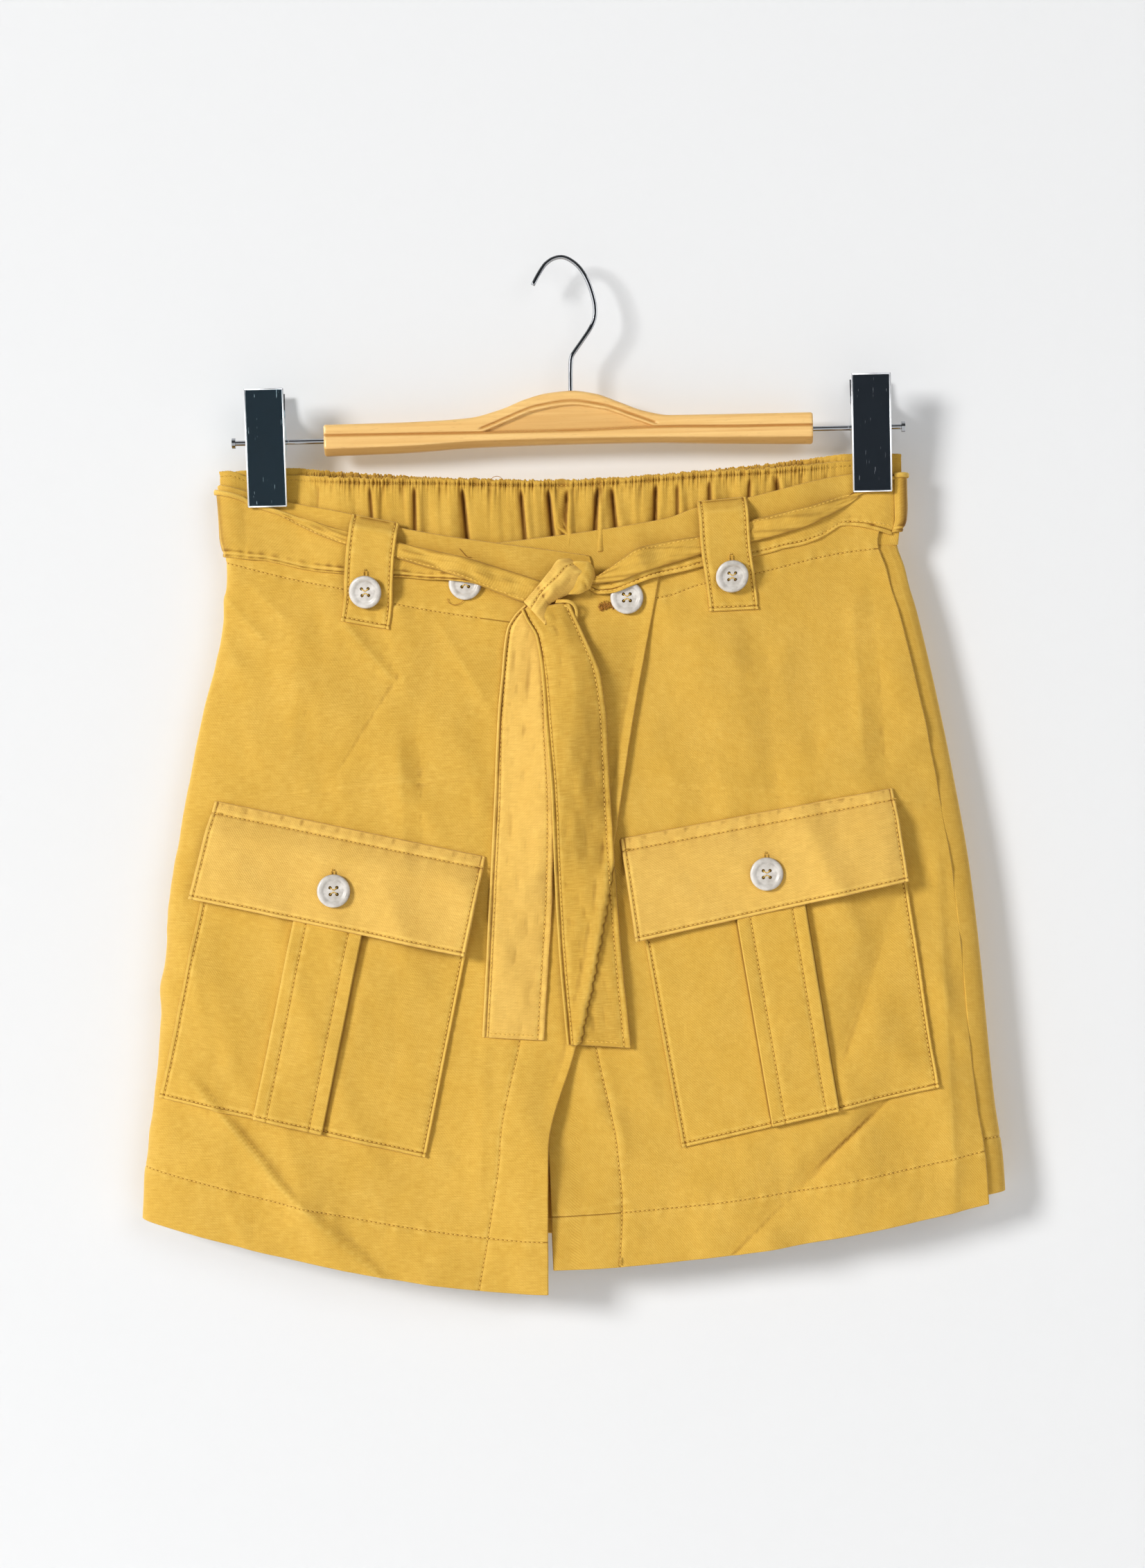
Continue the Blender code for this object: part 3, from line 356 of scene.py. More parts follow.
def put_folds(obj, values):
    """Stores how folded the cloth is at each point: the shader paints shade into its valleys and a paler
    tone onto its ridges, partly painted highlight and partly rubbed wear.
    """
    attribute = obj.data.attributes.get("fold") or obj.data.attributes.new("fold", "FLOAT", "POINT")
    attribute.data.foreach_set("value", np.asarray(values, np.float32).ravel())


Cloth = namedtuple("Cloth", "obj outer normal")


def cloth(name, outer, mat, uv, nodes=(), thickness=CLOTH):
    """A closed sheet: its outer face from a grid of points, its inner face behind it, and a round rim."""
    rows, cols = outer.shape[:2]
    normal = grid_normals(outer)
    inner = outer - normal * thickness
    along, up = np.gradient(outer, axis=1), np.gradient(outer, axis=0)
    along /= np.maximum(np.linalg.norm(along, axis=-1, keepdims=True), 1e-9)
    up /= np.maximum(np.linalg.norm(up, axis=-1, keepdims=True), 1e-9)
    edge = ([(0, c) for c in range(cols - 1)] + [(r, cols - 1) for r in range(rows - 1)]
            + [(rows - 1, c) for c in range(cols - 1, 0, -1)] + [(r, 0) for r in range(rows - 1, 0, -1)])
    er, ec = np.array(edge).T
    away = (np.where((er == 0)[:, None], -up[er, ec], 0)
            + np.where((er == rows - 1)[:, None], up[er, ec], 0)
            + np.where((ec == 0)[:, None], -along[er, ec], 0)
            + np.where((ec == cols - 1)[:, None], along[er, ec], 0))
    away /= np.linalg.norm(away, axis=-1, keepdims=True)
    rim = (outer[er, ec] + inner[er, ec]) / 2 + away * thickness * 0.42
    count = rows * cols
    verts = np.concatenate([outer.reshape(-1, 3), inner.reshape(-1, 3), rim])
    o, n = er * cols + ec, len(er)
    m = 2 * count + np.arange(n)
    o2, m2 = np.roll(o, -1), np.roll(m, -1)
    quads = np.concatenate([grid_faces(rows, cols), grid_faces(rows, cols, count, flip=True),
                            np.stack([o, m, m2, o2], axis=1),
                            np.stack([m, o + count, o2 + count, m2], axis=1)])
    obj = new_object(name, verts, quads.tolist(), mat)
    flat = uv.reshape(-1, 2)
    put_uv(obj, np.concatenate([flat, flat, flat[o]]))
    # the outer face's bends: painted shade in valleys, a paler tone on ridges (painted highlight and rubbed
    # wear); the rim gets the paler tone of rubbed wear
    bent = np.clip(bending(outer, normal) * FOLD_GAIN, -1, 1).reshape(-1)
    put_folds(obj, np.concatenate([bent, bent, np.full(n, RIM_WEAR)]))
    finish_piece(obj, "mustard_twill", *nodes)
    return Cloth(obj, outer, normal)


def stations(length, start, end, middle, start_scale=1.0, end_scale=1.0):
    """Places from 0 to each length: given ones at both ends, times a scale, and even ones between."""
    length = np.asarray(length, float)[..., None]
    start = np.array(start, float) * (np.zeros_like(length) + np.asarray(start_scale)[..., None])
    end = np.array(end, float) * (np.zeros_like(length) + np.asarray(end_scale)[..., None])
    inner = np.linspace(0, 1, middle + 2)[1:-1]
    first, last = start[..., -1:], length - end[..., -1:]
    return np.concatenate([start, first + (last - first) * inner, length - end[..., ::-1]], axis=-1)


def around_line(line):
    return [line - 1.6, line - 0.8, line, line + 0.8, line + 1.6]


def nearest(places, value):
    return int(np.argmin(np.abs(places - value)))


# ---------------------------------------------------------------- materials
def settle(shader, **values):
    """Constant values on a shader's own sockets."""
    for name, value in values.items():
        shader.inputs[name.replace("_", " ")].default_value = value


MIX_SOCKETS = (0, 6, 7)   # the Mix node's factor, and its two colours


class Nodes:
    """A new material's node tree, with short calls for building it."""

    def __init__(self, name):
        self.mat = bpy.data.materials.new(name)
        self.mat.use_nodes = True
        self.tree = self.mat.node_tree
        self.shader = self.tree.nodes["Principled BSDF"]

    def place(self):
        return self.add("ShaderNodeTexCoord").outputs["Object"]

    def feed(self, **sources):
        """Links outputs to the shader's sockets."""
        for name, source in sources.items():
            self.link(source, self.shader.inputs[name.replace("_", " ")])

    def add(self, kind, **values):
        node = self.tree.nodes.new(kind)
        for key, value in values.items():
            if key in node.inputs:
                node.inputs[key].default_value = value
            else:
                setattr(node, key, value)
        return node

    def link(self, a, b):
        self.tree.links.new(a, b)

    def math(self, operation, a, b):
        node = self.add("ShaderNodeMath", operation=operation)
        for socket, value in zip(node.inputs, (a, b)):
            if isinstance(value, (int, float)):
                socket.default_value = value
            else:
                self.link(value, socket)
        return node.outputs[0]

    def noise(self, vector, scale, stretch=(1, 1, 1), detail=2.0):
        mapping = self.add("ShaderNodeMapping")
        mapping.inputs["Scale"].default_value = stretch
        self.link(vector, mapping.inputs["Vector"])
        noise = self.add("ShaderNodeTexNoise", Scale=scale, Detail=detail, Roughness=0.55)
        self.link(mapping.outputs[0], noise.inputs["Vector"])
        return noise.outputs["Fac"]

    def spread(self, value, low, high, to_low, to_high):
        node = self.add("ShaderNodeMapRange")
        for key, number in zip(("From Min", "From Max", "To Min", "To Max"), (low, high, to_low, to_high)):
            node.inputs[key].default_value = number
        self.link(value, node.inputs["Value"])
        return node.outputs[0]

    def blend(self, fac, a, b):
        node = self.add("ShaderNodeMix", data_type="RGBA")
        for index, value in zip(MIX_SOCKETS, (fac, a, b)):
            socket = node.inputs[index]
            if isinstance(value, (int, float, tuple)):
                socket.default_value = value
            else:
                self.link(value, socket)
        return node.outputs[2]

    def bump(self, height, distance, strength):
        node = self.add("ShaderNodeBump", Strength=strength, Distance=distance)
        self.link(height, node.inputs["Height"])
        return node.outputs[0]


MUSTARD = (0.65, 0.415, 0.082, 1)
MUSTARD_DEEP = (0.48, 0.27, 0.04, 1)
MUSTARD_PALE = (0.69, 0.455, 0.105, 1)


# painted shade for valleys and creases; the paler colour for ridges (painted highlight and rubbed wear) and
# rims (rubbed wear)
MUSTARD_SHADOW = (0.17, 0.07, 0.008, 1)
MUSTARD_WEAR_AND_HIGHLIGHT = (0.80, 0.56, 0.15, 1)


def shade(colour, factor, painted_sheen=0.0):
    return tuple(c * factor + painted_sheen for c in colour[:3]) + (1,)


def twill(name, grain=0.0, diagonal=1.0, across=1.0, tone_factor=1.0, painted_sheen=0.0):
    """Cotton twill: fine diagonal ribs, uneven threads along and across, slow changes of tone, painted
    shade in valleys, and a paler tone on ridges (painted highlight and rubbed wear) and on rims (rubbed
    wear).
    """
    n = Nodes(name)
    uv = n.add("ShaderNodeUVMap", uv_map="cloth")
    turned = n.add("ShaderNodeMapping")
    turned.inputs["Rotation"].default_value = (0, 0, math.radians(grain))
    n.link(uv.outputs[0], turned.inputs["Vector"])
    vector = turned.outputs[0]
    wave = n.add("ShaderNodeTexWave", wave_type="BANDS", bands_direction="DIAGONAL", Scale=4.2,
                 Distortion=1.2,
                 Detail=1.0)
    wave.inputs["Detail Scale"].default_value = 2.0
    n.link(vector, wave.inputs["Vector"])
    ribs = wave.outputs["Fac"]
    weft = n.noise(vector, 1.0, (1.4, 22.0, 1), 3.0)
    warp = n.noise(vector, 1.0, (22.0, 1.0, 1), 3.0)
    cloud = n.noise(vector, 0.35, detail=3.0)
    rub = n.noise(vector, 2.4, detail=4.0)
    fold = n.add("ShaderNodeAttribute", attribute_name="fold").outputs["Fac"]
    middle, pale, deep = (shade(c, tone_factor, painted_sheen) for c in (MUSTARD, MUSTARD_PALE, MUSTARD_DEEP))
    shadow, wear_and_highlight = (shade(c, tone_factor) for c in (MUSTARD_SHADOW, MUSTARD_WEAR_AND_HIGHLIGHT))
    tone = n.blend(n.spread(cloud, 0.3, 0.7, 0.0, 1.0), middle, pale)
    # the fold attribute paints shade into valleys and a paler tone onto ridges and rims (painted highlight
    # and rubbed wear)
    for source, low, high, at_low, at_high, colour in (
            (rub, 0.35, 0.75, 0.0, 0.3, deep), (weft, 0.35, 0.65, 0.0, 0.36 * across, deep),
            (warp, 0.4, 0.7, 0.0, 0.2, deep), (ribs, 0.2, 0.9, 0.0, 0.3 * diagonal, deep),
            (fold, 0.12, 1.0, 0.0, 0.85, shadow), (fold, -0.9, -0.15, 0.4, 0.0, wear_and_highlight)):
        tone = n.blend(n.spread(source, low, high, at_low, at_high), tone, colour)
    height = n.math("ADD", n.math("MULTIPLY", ribs, 0.5 * diagonal),
                    n.math("MULTIPLY", n.math("ADD", weft, warp), 0.8))
    n.feed(Base_Color=tone, Normal=n.bump(height, 0.0002, 0.5),
           Roughness=n.spread(rub, 0.2, 0.8, 0.78, 0.92))
    settle(n.shader, Specular_IOR_Level=0.25, Sheen_Weight=0.12, Sheen_Roughness=0.5)
    return n.mat


def thread(name, colour):
    """Twisted sewing thread."""
    n = Nodes(name)
    wave = n.add("ShaderNodeTexWave", wave_type="BANDS", bands_direction="DIAGONAL", Scale=900.0,
                 Distortion=2.0)
    n.link(n.place(), wave.inputs["Vector"])
    ply = wave.outputs["Fac"]
    n.feed(Base_Color=n.blend(n.math("MULTIPLY", ply, 0.5), colour, shade(colour, 0.7)),
           Normal=n.bump(ply, 0.0001, 0.4))
    settle(n.shader, Roughness=0.6, Sheen_Weight=0.1)
    return n.mat


def pearl():
    """Shell-like buttons: grey white with darker streaks and a polished face."""
    n = Nodes("button_shell_finish")
    place = n.place()
    warped = n.noise(place, 160.0, detail=3.0)
    streak = n.noise(place, 90.0, (1, 1, 4.5), 5.0)
    tone = n.blend(n.spread(warped, 0.35, 0.7, 0.0, 1.0), (0.66, 0.63, 0.59, 1), (0.44, 0.41, 0.37, 1))
    tone = n.blend(n.spread(streak, 0.52, 0.68, 0.0, 0.8), tone, (0.20, 0.17, 0.15, 1))
    n.feed(Base_Color=tone, Normal=n.bump(streak, 0.0003, 0.35),
           Roughness=n.spread(streak, 0.3, 0.8, 0.34, 0.5))
    settle(n.shader, Coat_Weight=0.15, Coat_Roughness=0.2)
    return n.mat


def beech(name, light, dark):
    """Varnished beech with long grain and short dark flecks, and painted shade where the fold attribute
    marks the bar's groove, recess and slanting underside.
    """
    n = Nodes(name)
    place = n.place()
    grain = n.noise(place, 1.0, (14, 300, 520), 6.0)
    broad = n.noise(place, 1.0, (6, 60, 90), 3.0)
    fleck = n.noise(place, 1.0, (160, 900, 2200), 2.0)
    cut = n.add("ShaderNodeAttribute", attribute_name="fold").outputs["Fac"]
    tone = n.blend(n.spread(grain, 0.35, 0.68, 0.0, 1.0), light, dark)
    tone = n.blend(n.spread(broad, 0.4, 0.75, 0.0, 0.45), tone, dark)
    tone = n.blend(n.spread(fleck, 0.62, 0.75, 0.0, 0.35), tone, (0.33, 0.16, 0.06, 1))
    # painted shade: darker in the routed groove, under the rim, in the recess and on the slanting underside
    tone = n.blend(n.spread(cut, 0.0, 1.0, 0.0, 0.9), tone, (0.42, 0.20, 0.05, 1))
    n.feed(Base_Color=tone, Normal=n.bump(grain, 0.0002, 0.25),
           Roughness=n.spread(grain, 0.3, 0.7, 0.34, 0.46))
    settle(n.shader, Coat_Weight=0.35, Coat_Roughness=0.22)
    return n.mat


def chrome(name, tint, scratches, rough=0.03):
    """Plated steel with fine scratches and a little haze."""
    n = Nodes(name)
    place = n.place()
    haze = n.noise(place, 90.0, detail=4.0)
    scratch = n.noise(place, 1.0, (2400, 200, 100), 2.5)
    roughness = n.math("ADD", n.spread(haze, 0.3, 0.8, rough, rough + 0.09),
                       n.spread(scratch, 0.70, 0.76, 0.0, scratches))
    tone = n.blend(n.spread(haze, 0.4, 0.9, 0.0, 0.25), tint, (0.45, 0.47, 0.5, 1))
    n.feed(Base_Color=tone, Normal=n.bump(scratch, 0.00005, 0.3), Roughness=roughness)
    settle(n.shader, Metallic=1.0)
    return n.mat


TWILL_LEFT = twill("twill_left", 0.0, 0.6, 1.3)
TWILL_RIGHT = twill("twill_right", 6.0, 1.3, 0.7)
TWILL_BELT = twill("twill_belt", 4.0, 1.0, 1.0)
TWILL_BACK = twill("twill_back", 0.0, 1.0, 1.0)
# a lighter copy of the twill with white added: painted highlight and sheen on the flaps, the left tail and
# the knot's wrap
TWILL_PAINTED_LIGHT = twill("twill_painted_light", 0.0, 0.7, 1.3, 1.06, 0.032)
TWILL_CROSS = twill("twill_cross", 2.0, 0.4, 1.8, 0.95)
THREAD = thread("mustard_thread", (0.76, 0.49, 0.095, 1))
WAIST_THREAD = thread("waist_thread", (0.60, 0.37, 0.055, 1))
# dark brown thread: frayed ends, whose darkness also paints the shade in the torn buttonhole
FRAYED_AND_HOLE_SHADE = thread("frayed_thread_and_hole_shade", (0.40, 0.18, 0.02, 1))
PEARL = pearl()
BEECH = beech("beech_finish", (0.82, 0.56, 0.235, 1), (0.70, 0.42, 0.15, 1))
CHROME = chrome("chrome_finish", (0.42, 0.43, 0.45, 1), 0.3)
EDGE_STEEL = chrome("clip_edge_finish", (0.97, 0.98, 1.0, 1), 0.1, 0.5)
CLIP_BLUE = chrome("clip_finish_left", (0.72, 0.93, 1.0, 1), 0.5)
CLIP_GREY = chrome("clip_finish_right", (0.70, 0.74, 0.78, 1), 0.5)


# ---------------------------------------------------------------- stitching
STITCH_PITCH = 2.6
STITCH_LENGTH = 1.75
THREAD_RADIUS = 0.34


def bar_faces(base, rings, sides):
    """Faces of a bar whose vertices lie in rings, closed at both ends."""
    faces = []
    for p in range(base, base + (rings - 1) * sides, sides):
        for k in range(sides):
            m = (k + 1) % sides
            faces.append((p + k, p + m, p + sides + m, p + sides + k))
    faces.append(tuple(base + k for k in range(sides))[::-1])
    faces.append(tuple(base + (rings - 1) * sides + k for k in range(sides)))
    return faces


class Stitching:
    """Collects rows of stitches and makes them as one piece."""

    def __init__(self, name):
        self.name, self.verts, self.faces = name, [], []

    def row(self, points, normals, pitch=STITCH_PITCH, length=STITCH_LENGTH, radius=THREAD_RADIUS,
            lift=0.05):
        """Stitches along a line that lies on the cloth."""
        steps = np.linalg.norm(np.diff(points, axis=0), axis=1)
        along = running(steps)
        count = int((along[-1] - 1.0) / pitch)
        sides = 5
        for k in range(count):
            start = 0.5 + k * pitch
            at = start + length * np.array([0.0, 0.18, 0.82, 1.0])
            centre = np.stack([np.interp(at, along, points[:, i]) for i in range(3)], axis=1)
            normal = np.stack([np.interp(at, along, normals[:, i]) for i in range(3)], axis=1)
            normal /= np.linalg.norm(normal, axis=1, keepdims=True)
            forward = centre[-1] - centre[0]
            forward /= np.linalg.norm(forward)
            across = np.cross(normal, forward)
            sink = np.array([-0.22, lift, lift, -0.22])
            base = len(self.verts)
            for c, nn, a, s in zip(centre, normal, across, sink):
                for i in range(sides):
                    turn = TURN * i / sides
                    self.verts.append(c + nn * (s + radius * math.sin(turn))
                                      + a * radius * 0.95 * math.cos(turn))
            self.faces += bar_faces(base, len(at), sides)

    def line(self, sheet, row=None, column=None, first=0, last=None):
        """Stitches along one row or column of a sheet's grid."""
        where = (row, slice(first, last)) if row is not None else (slice(first, last), column)
        self.row(sheet.outer[where], sheet.normal[where])

    def make(self, mat):
        obj = new_object(self.name, np.array(self.verts), self.faces, mat)
        return finish_piece(obj, "mustard_twill")


# ---------------------------------------------------------------- gathers of the waist
# place across the front of the band and depth
DEEP_FOLDS = [
    (-142, 0.9), (-113, 1.2), (-87.5, 1.8), (-60.8, 2.6), (-27.7, 2.2), (-12.3, 2.6), (-1.1, 2.0),
    (16, 2.6), (23.6, 2.2), (49, 2.3), (61, 1.2), (79, 1.7), (102, 1.4), (117, 1.8), (146, 1.1),
]


def uneven(s, scale):
    return (s + 2.1 * np.sin(s * 0.21 / scale) + 1.3 * np.sin(s * 0.47 / scale + 1.1)
            + 0.9 * np.sin(s * 0.83 / scale + 2.0))


PLEAT_DICE = np.random.RandomState(19)
# place, depth, lean and length
SMALL_PLEATS = [(place + PLEAT_DICE.uniform(-3, 3), PLEAT_DICE.uniform(0.3, 1.5),
                 PLEAT_DICE.uniform(-0.12, 0.12),
                 PLEAT_DICE.uniform(4, 14)) for place in np.arange(-194, 190, 7.4)]


def gathers(x, below, deep):
    """How far gathered cloth lies inward below the elastic's stitching, and how much painted shade darkens
    its folds.
    """
    down = np.maximum(below, 0)
    fine = 1.8 * (0.5 + 0.5 * np.sin(uneven(x, 0.4) * TURN / 3.0)) ** 1.5 * np.exp(-down / 3.5)
    slow = (1.4 * (0.5 + 0.5 * np.sin(uneven(x - 0.05 * down, 1.0) * TURN / 21.0))
            * (1 - np.exp(-down / 5.0)))
    total = fine + slow + 0.9 * rolling(x, below, 9, 22, 51) * ease(down / 8)
    dark = 0.3 * fine
    for place, depth, lean, length in SMALL_PLEATS:
        fold = depth * bell(x - place - lean * down, 1.2) * ease((below - 0.5) / 3) * np.exp(-down / length)
        total = total + fold
        dark = dark + 0.5 * fold
    for place, depth in deep:
        away = x - place - 0.09 * math.sin(7 * place) * down
        reach = depth * ease((below - 1) / 6)
        behind = np.where(away > 0, 0.55, 1.2 + 1.6 * ease(below / 25))
        total = (total + 1.9 * reach * np.exp(-np.abs(away / behind) ** 1.2)
                 - 0.6 * reach * bell(away - 2.8, 2.4))
        dark = dark + 1.1 * reach * np.exp(-np.abs(away / np.where(away > 0, 0.6, 1.2)) ** 1.5)
    return total, dark


def band_top(x, lower_by):
    share = np.minimum(np.abs(x) / 155.0, 1.0)
    top = BAND_TOP + BAND_SAG * share ** 1.6 - 1.0 * ease((np.abs(x) - 172) / 20)
    return top - lower_by * (0.35 + 0.65 * ease((np.abs(x) - 60) / 80)) * (1 - ease((np.abs(x) - 180) / 12))


ELASTIC_LINE = 2.6
FRILL_DEPTH = 10.8     # above this the rows keep their distance from the top


def waistband(name, span, lower_by, deep):
    """Half of the elasticated waist, with its frilled edge above the row of stitches."""
    share = np.linspace(0, 1, 760)
    from_top = np.array([0, 0.5, 1.1, 1.8, 2.6, 3.3, 4.2, 5.4, 6.9, 8.7, 10.8, 13.2, 16, 19, 22.3, 26, 30,
                         34.5, 39.5])
    shares, offsets = np.meshgrid(share, from_top[::-1])
    z = BAND_TOP - offsets
    for _ in range(5):
        angle = span.angle(shares, z)
        x = ring(angle, z)[0]
        top = band_top(x, lower_by)
        stretch = (top - BAND_BOTTOM - SEAM - FRILL_DEPTH) / (from_top[-1] - FRILL_DEPTH)
        z = top - np.minimum(offsets, FRILL_DEPTH) - np.maximum(offsets - FRILL_DEPTH, 0) * stretch
    s = shares * span.length(BAND_TOP)
    across = x
    below = offsets - ELASTIC_LINE
    frill = ease(-below / ELASTIC_LINE)
    sides = ease((192 - np.abs(x)) / 14)
    flat = (1 - 0.85 * pinch(x, z)) * (0.3 + 0.7 * sides)
    wave = np.sin(uneven(across, 0.4) * TURN / 3.0)
    hollow, dark = gathers(across, below, deep)
    hollow = (hollow * (0.45 + 0.55 * (1 - ease((np.abs(x) - 150) / 40))) + 0.7 * bell(below, 0.8)) * flat
    points = body(angle, z, -hollow + frill * (0.5 + 0.8 * wave) * flat)
    points[..., 2] += frill * (0.45 * wave + 0.2 * np.sin(across * 0.9)) * flat
    sheet = cloth(name + "_cloth", points, TWILL_BACK, np.stack([s * 1.3, -offsets], axis=-1), (name,))
    # painted shade in the folds of the gathers and along the elastic's row of stitches
    shown = np.clip((dark + 0.5 * bell(below, 0.7)) * flat, 0, 1).reshape(-1)
    rim = len(sheet.obj.data.vertices) - 2 * len(shown)
    put_folds(sheet.obj, np.concatenate([shown, shown, np.full(rim, RIM_WEAR)]))
    return sheet


FRONT_SPAN = Span(left_seam, right_seam)
BACK_SPAN = Span(right_seam, lambda z: left_seam(z) + TURN)


# ---------------------------------------------------------------- wrap panels
HEM_DEPTH = 30.0
FACING_DEPTH = 43.5
EDGE_FACING = 37.0
EDGE_STAND = 1.8       # how far the upper panel's free edge stands forward
SWELL = 9.5            # how far it swells under the belt's tails


def panel_lift(x, z):
    return GAP + 0.3 * pinch(x, z)


def upper_lift(x, z):
    """The inner face of the upper panel: on the body, then over the lower panel."""
    climb = ease((x - lower_edge(z) + FACING_RAMP + FACING_LEAD) / FACING_RAMP)
    near_edge = ease((x - upper_edge(z) + 45) / 45)
    at_slit = ease((-445 - z) / 40) * ease((z + 590) / 60)
    inward = upper_edge(z) - x
    swell = (SWELL * ease(inward / 36) * (1 - ease((inward - 38) / 34)) * ease((-196 - z) / 50)
             * ease((z + 380) / 70))
    free = EDGE_STAND * (1 - ease(inward / 7)) * ease((-196 - z) / 40) * ease((z + 500) / 60)
    return panel_lift(x, z) + (LAYER + LOOSE) * climb + SLIT_CURL * near_edge * at_slit + swell + free


def panel_face(x, z):
    """The outer face of the panel that shows at a place, with its folds."""
    upper = upper_lift(x, z) + CLOTH
    lower = panel_lift(x, z) + CLOTH
    return np.where(x < upper_edge(z) + 2, upper, lower) + folds(x, z)


def front(x, z, lift):
    """A point over the panels."""
    return body(angle_at(x, z), z + 0.0 * x, lift + panel_face(x, z))


def upper_hem(x):
    return -581.5 + 42.5 * np.clip((-24 - x) / 214.0, 0, 1.1) ** 1.5


def lower_hem(x):
    return -568.0 + 32.0 * np.clip((x + 20) / 253.0, 0, 1.05) ** 1.8


FACING_LEFT = smooth_curve([(-180, 37), (-332, 35.5), (-448, 31.5), (-499, 27), (-540, 32), (-578, 38.5)])
FACING_RIGHT = smooth_curve([(-150, 38), (-449, 38.5), (-484, 37.5), (-530, 39.5), (-567, 37)])
UPPER_SPAN = Span(left_seam, lambda z: angle_at(upper_edge(z), z))
LOWER_SPAN = Span(lambda z: angle_at(lower_edge(z), z), right_seam)
EDGE_STEPS = [0, 0.5, 1.2, 2.2, 3.6, 5.5]


def panel_points(span, hem, top, lift, columns, upper):
    """A wrap panel's grid: rows follow its hem and its waist edge, columns its two sides."""
    hem_rows = EDGE_STEPS + [8, 11, 14, 17, 20, 23, 26] + around_line(HEM_DEPTH) + [34.0]
    top_rows = EDGE_STEPS + [8, 11, 14, 18, 22, 26, 30, 34, 38] + around_line(FACING_DEPTH) + [48.0]
    middle = 190
    z = np.full((len(hem_rows) + len(top_rows) + middle,
                 columns(np.array([300.0]), np.array([-300.0])).shape[-1]), -300.0)
    x = np.full(z.shape, -100.0 if upper else 100.0)
    row_index = np.arange(z.shape[0])[:, None]
    column_index = np.arange(z.shape[1])[None, :]
    for _ in range(8):
        height = top(x) - hem(x)
        up = stations(height, hem_rows, top_rows, middle)[row_index, column_index, row_index]
        z = hem(x) + up
        if upper:
            z = z - (top(x) - UPPER_NOTCH[1]) * ease((x - UPPER_NOTCH[0])
                                                     / 2.5) * np.clip(1 - (height - up) / 60, 0, 1)
        length = span.length(z)
        place = columns(length, z)[row_index, column_index, column_index]
        angle = span.angle(place / length, z)
        x = ring(angle, z)[0]
    height = top(x) - hem(x)
    hem_line = seam_dip(up - HEM_DEPTH, x, 0.4)
    shown = ease((-12 - x) / 8) if upper else 1.0
    waist_line = shown * seam_dip(height - up - FACING_DEPTH, x, 1.7)
    doubled = (0.25 * (1 - ease((up - HEM_DEPTH) / 2.0))
               + 0.2 * shown * (1 - ease((height - up - FACING_DEPTH) / 2.0)))
    detail = folds(x, z) + hem_line + waist_line + doubled
    from_edge = (length - place) / FACING_LEFT(z) if upper else place / FACING_RIGHT(z)
    detail = detail + seam_dip((from_edge - 1) * EDGE_FACING, z,
                               0.9) * ease((-FACING_DEPTH - (z - top(x))) / 10)
    wavy = 0.5 * bell(up, 12) * np.sin(x / 13.0 + 1.0) + 0.3 * bell(up, 8) * np.sin(x / 5.1)
    points = body(angle, z, lift(x, z) + CLOTH + detail + wavy)
    uv = np.stack([place, z], axis=-1)
    return points, uv, len(hem_rows), len(top_rows)


PANEL_SIDE = EDGE_STEPS + [8.0]
PANEL_EDGE = EDGE_STEPS + [8, 11, 14, 17, 20, 23, 26, 29, 32] + around_line(EDGE_FACING) + [41.0]


def upper_columns(length, z):
    return stations(length, PANEL_SIDE, PANEL_EDGE, 110, end_scale=FACING_LEFT(z) / EDGE_FACING)


def lower_columns(length, z):
    return stations(length, PANEL_EDGE, PANEL_SIDE, 116, start_scale=FACING_RIGHT(z) / EDGE_FACING)


def wrap_panels(stitching):
    """Both panels, with stitches along the hem, the waist edge and the facing."""
    points, uv, hems, tops = panel_points(UPPER_SPAN, upper_hem, upper_top, upper_lift, upper_columns, True)
    sheet = cloth("wrap_panel_left_cloth", points, TWILL_LEFT, uv, ["wrap_panel_upper"])
    rows, columns = points.shape[:2]
    stitching.line(sheet, row=hems - 4)
    stitching.line(sheet, row=rows - tops + 3, last=-48)
    stitching.line(sheet, column=columns - len(PANEL_EDGE) + 3, last=-tops + 3)
    points, uv, hems, tops = panel_points(LOWER_SPAN, lower_hem, lower_top, panel_lift, lower_columns,
                                          False)
    sheet = cloth("wrap_panel_right_cloth", points, TWILL_RIGHT, uv, ["wrap_panel_lower"])
    facing = len(PANEL_EDGE) - 4
    stitching.line(sheet, row=hems - 4, first=facing)
    stitching.line(sheet, row=points.shape[0] - tops + 3, first=58)
    stitching.line(sheet, column=facing, last=90)


# ---------------------------------------------------------------- legs
BACK_WIDTH = 190.0


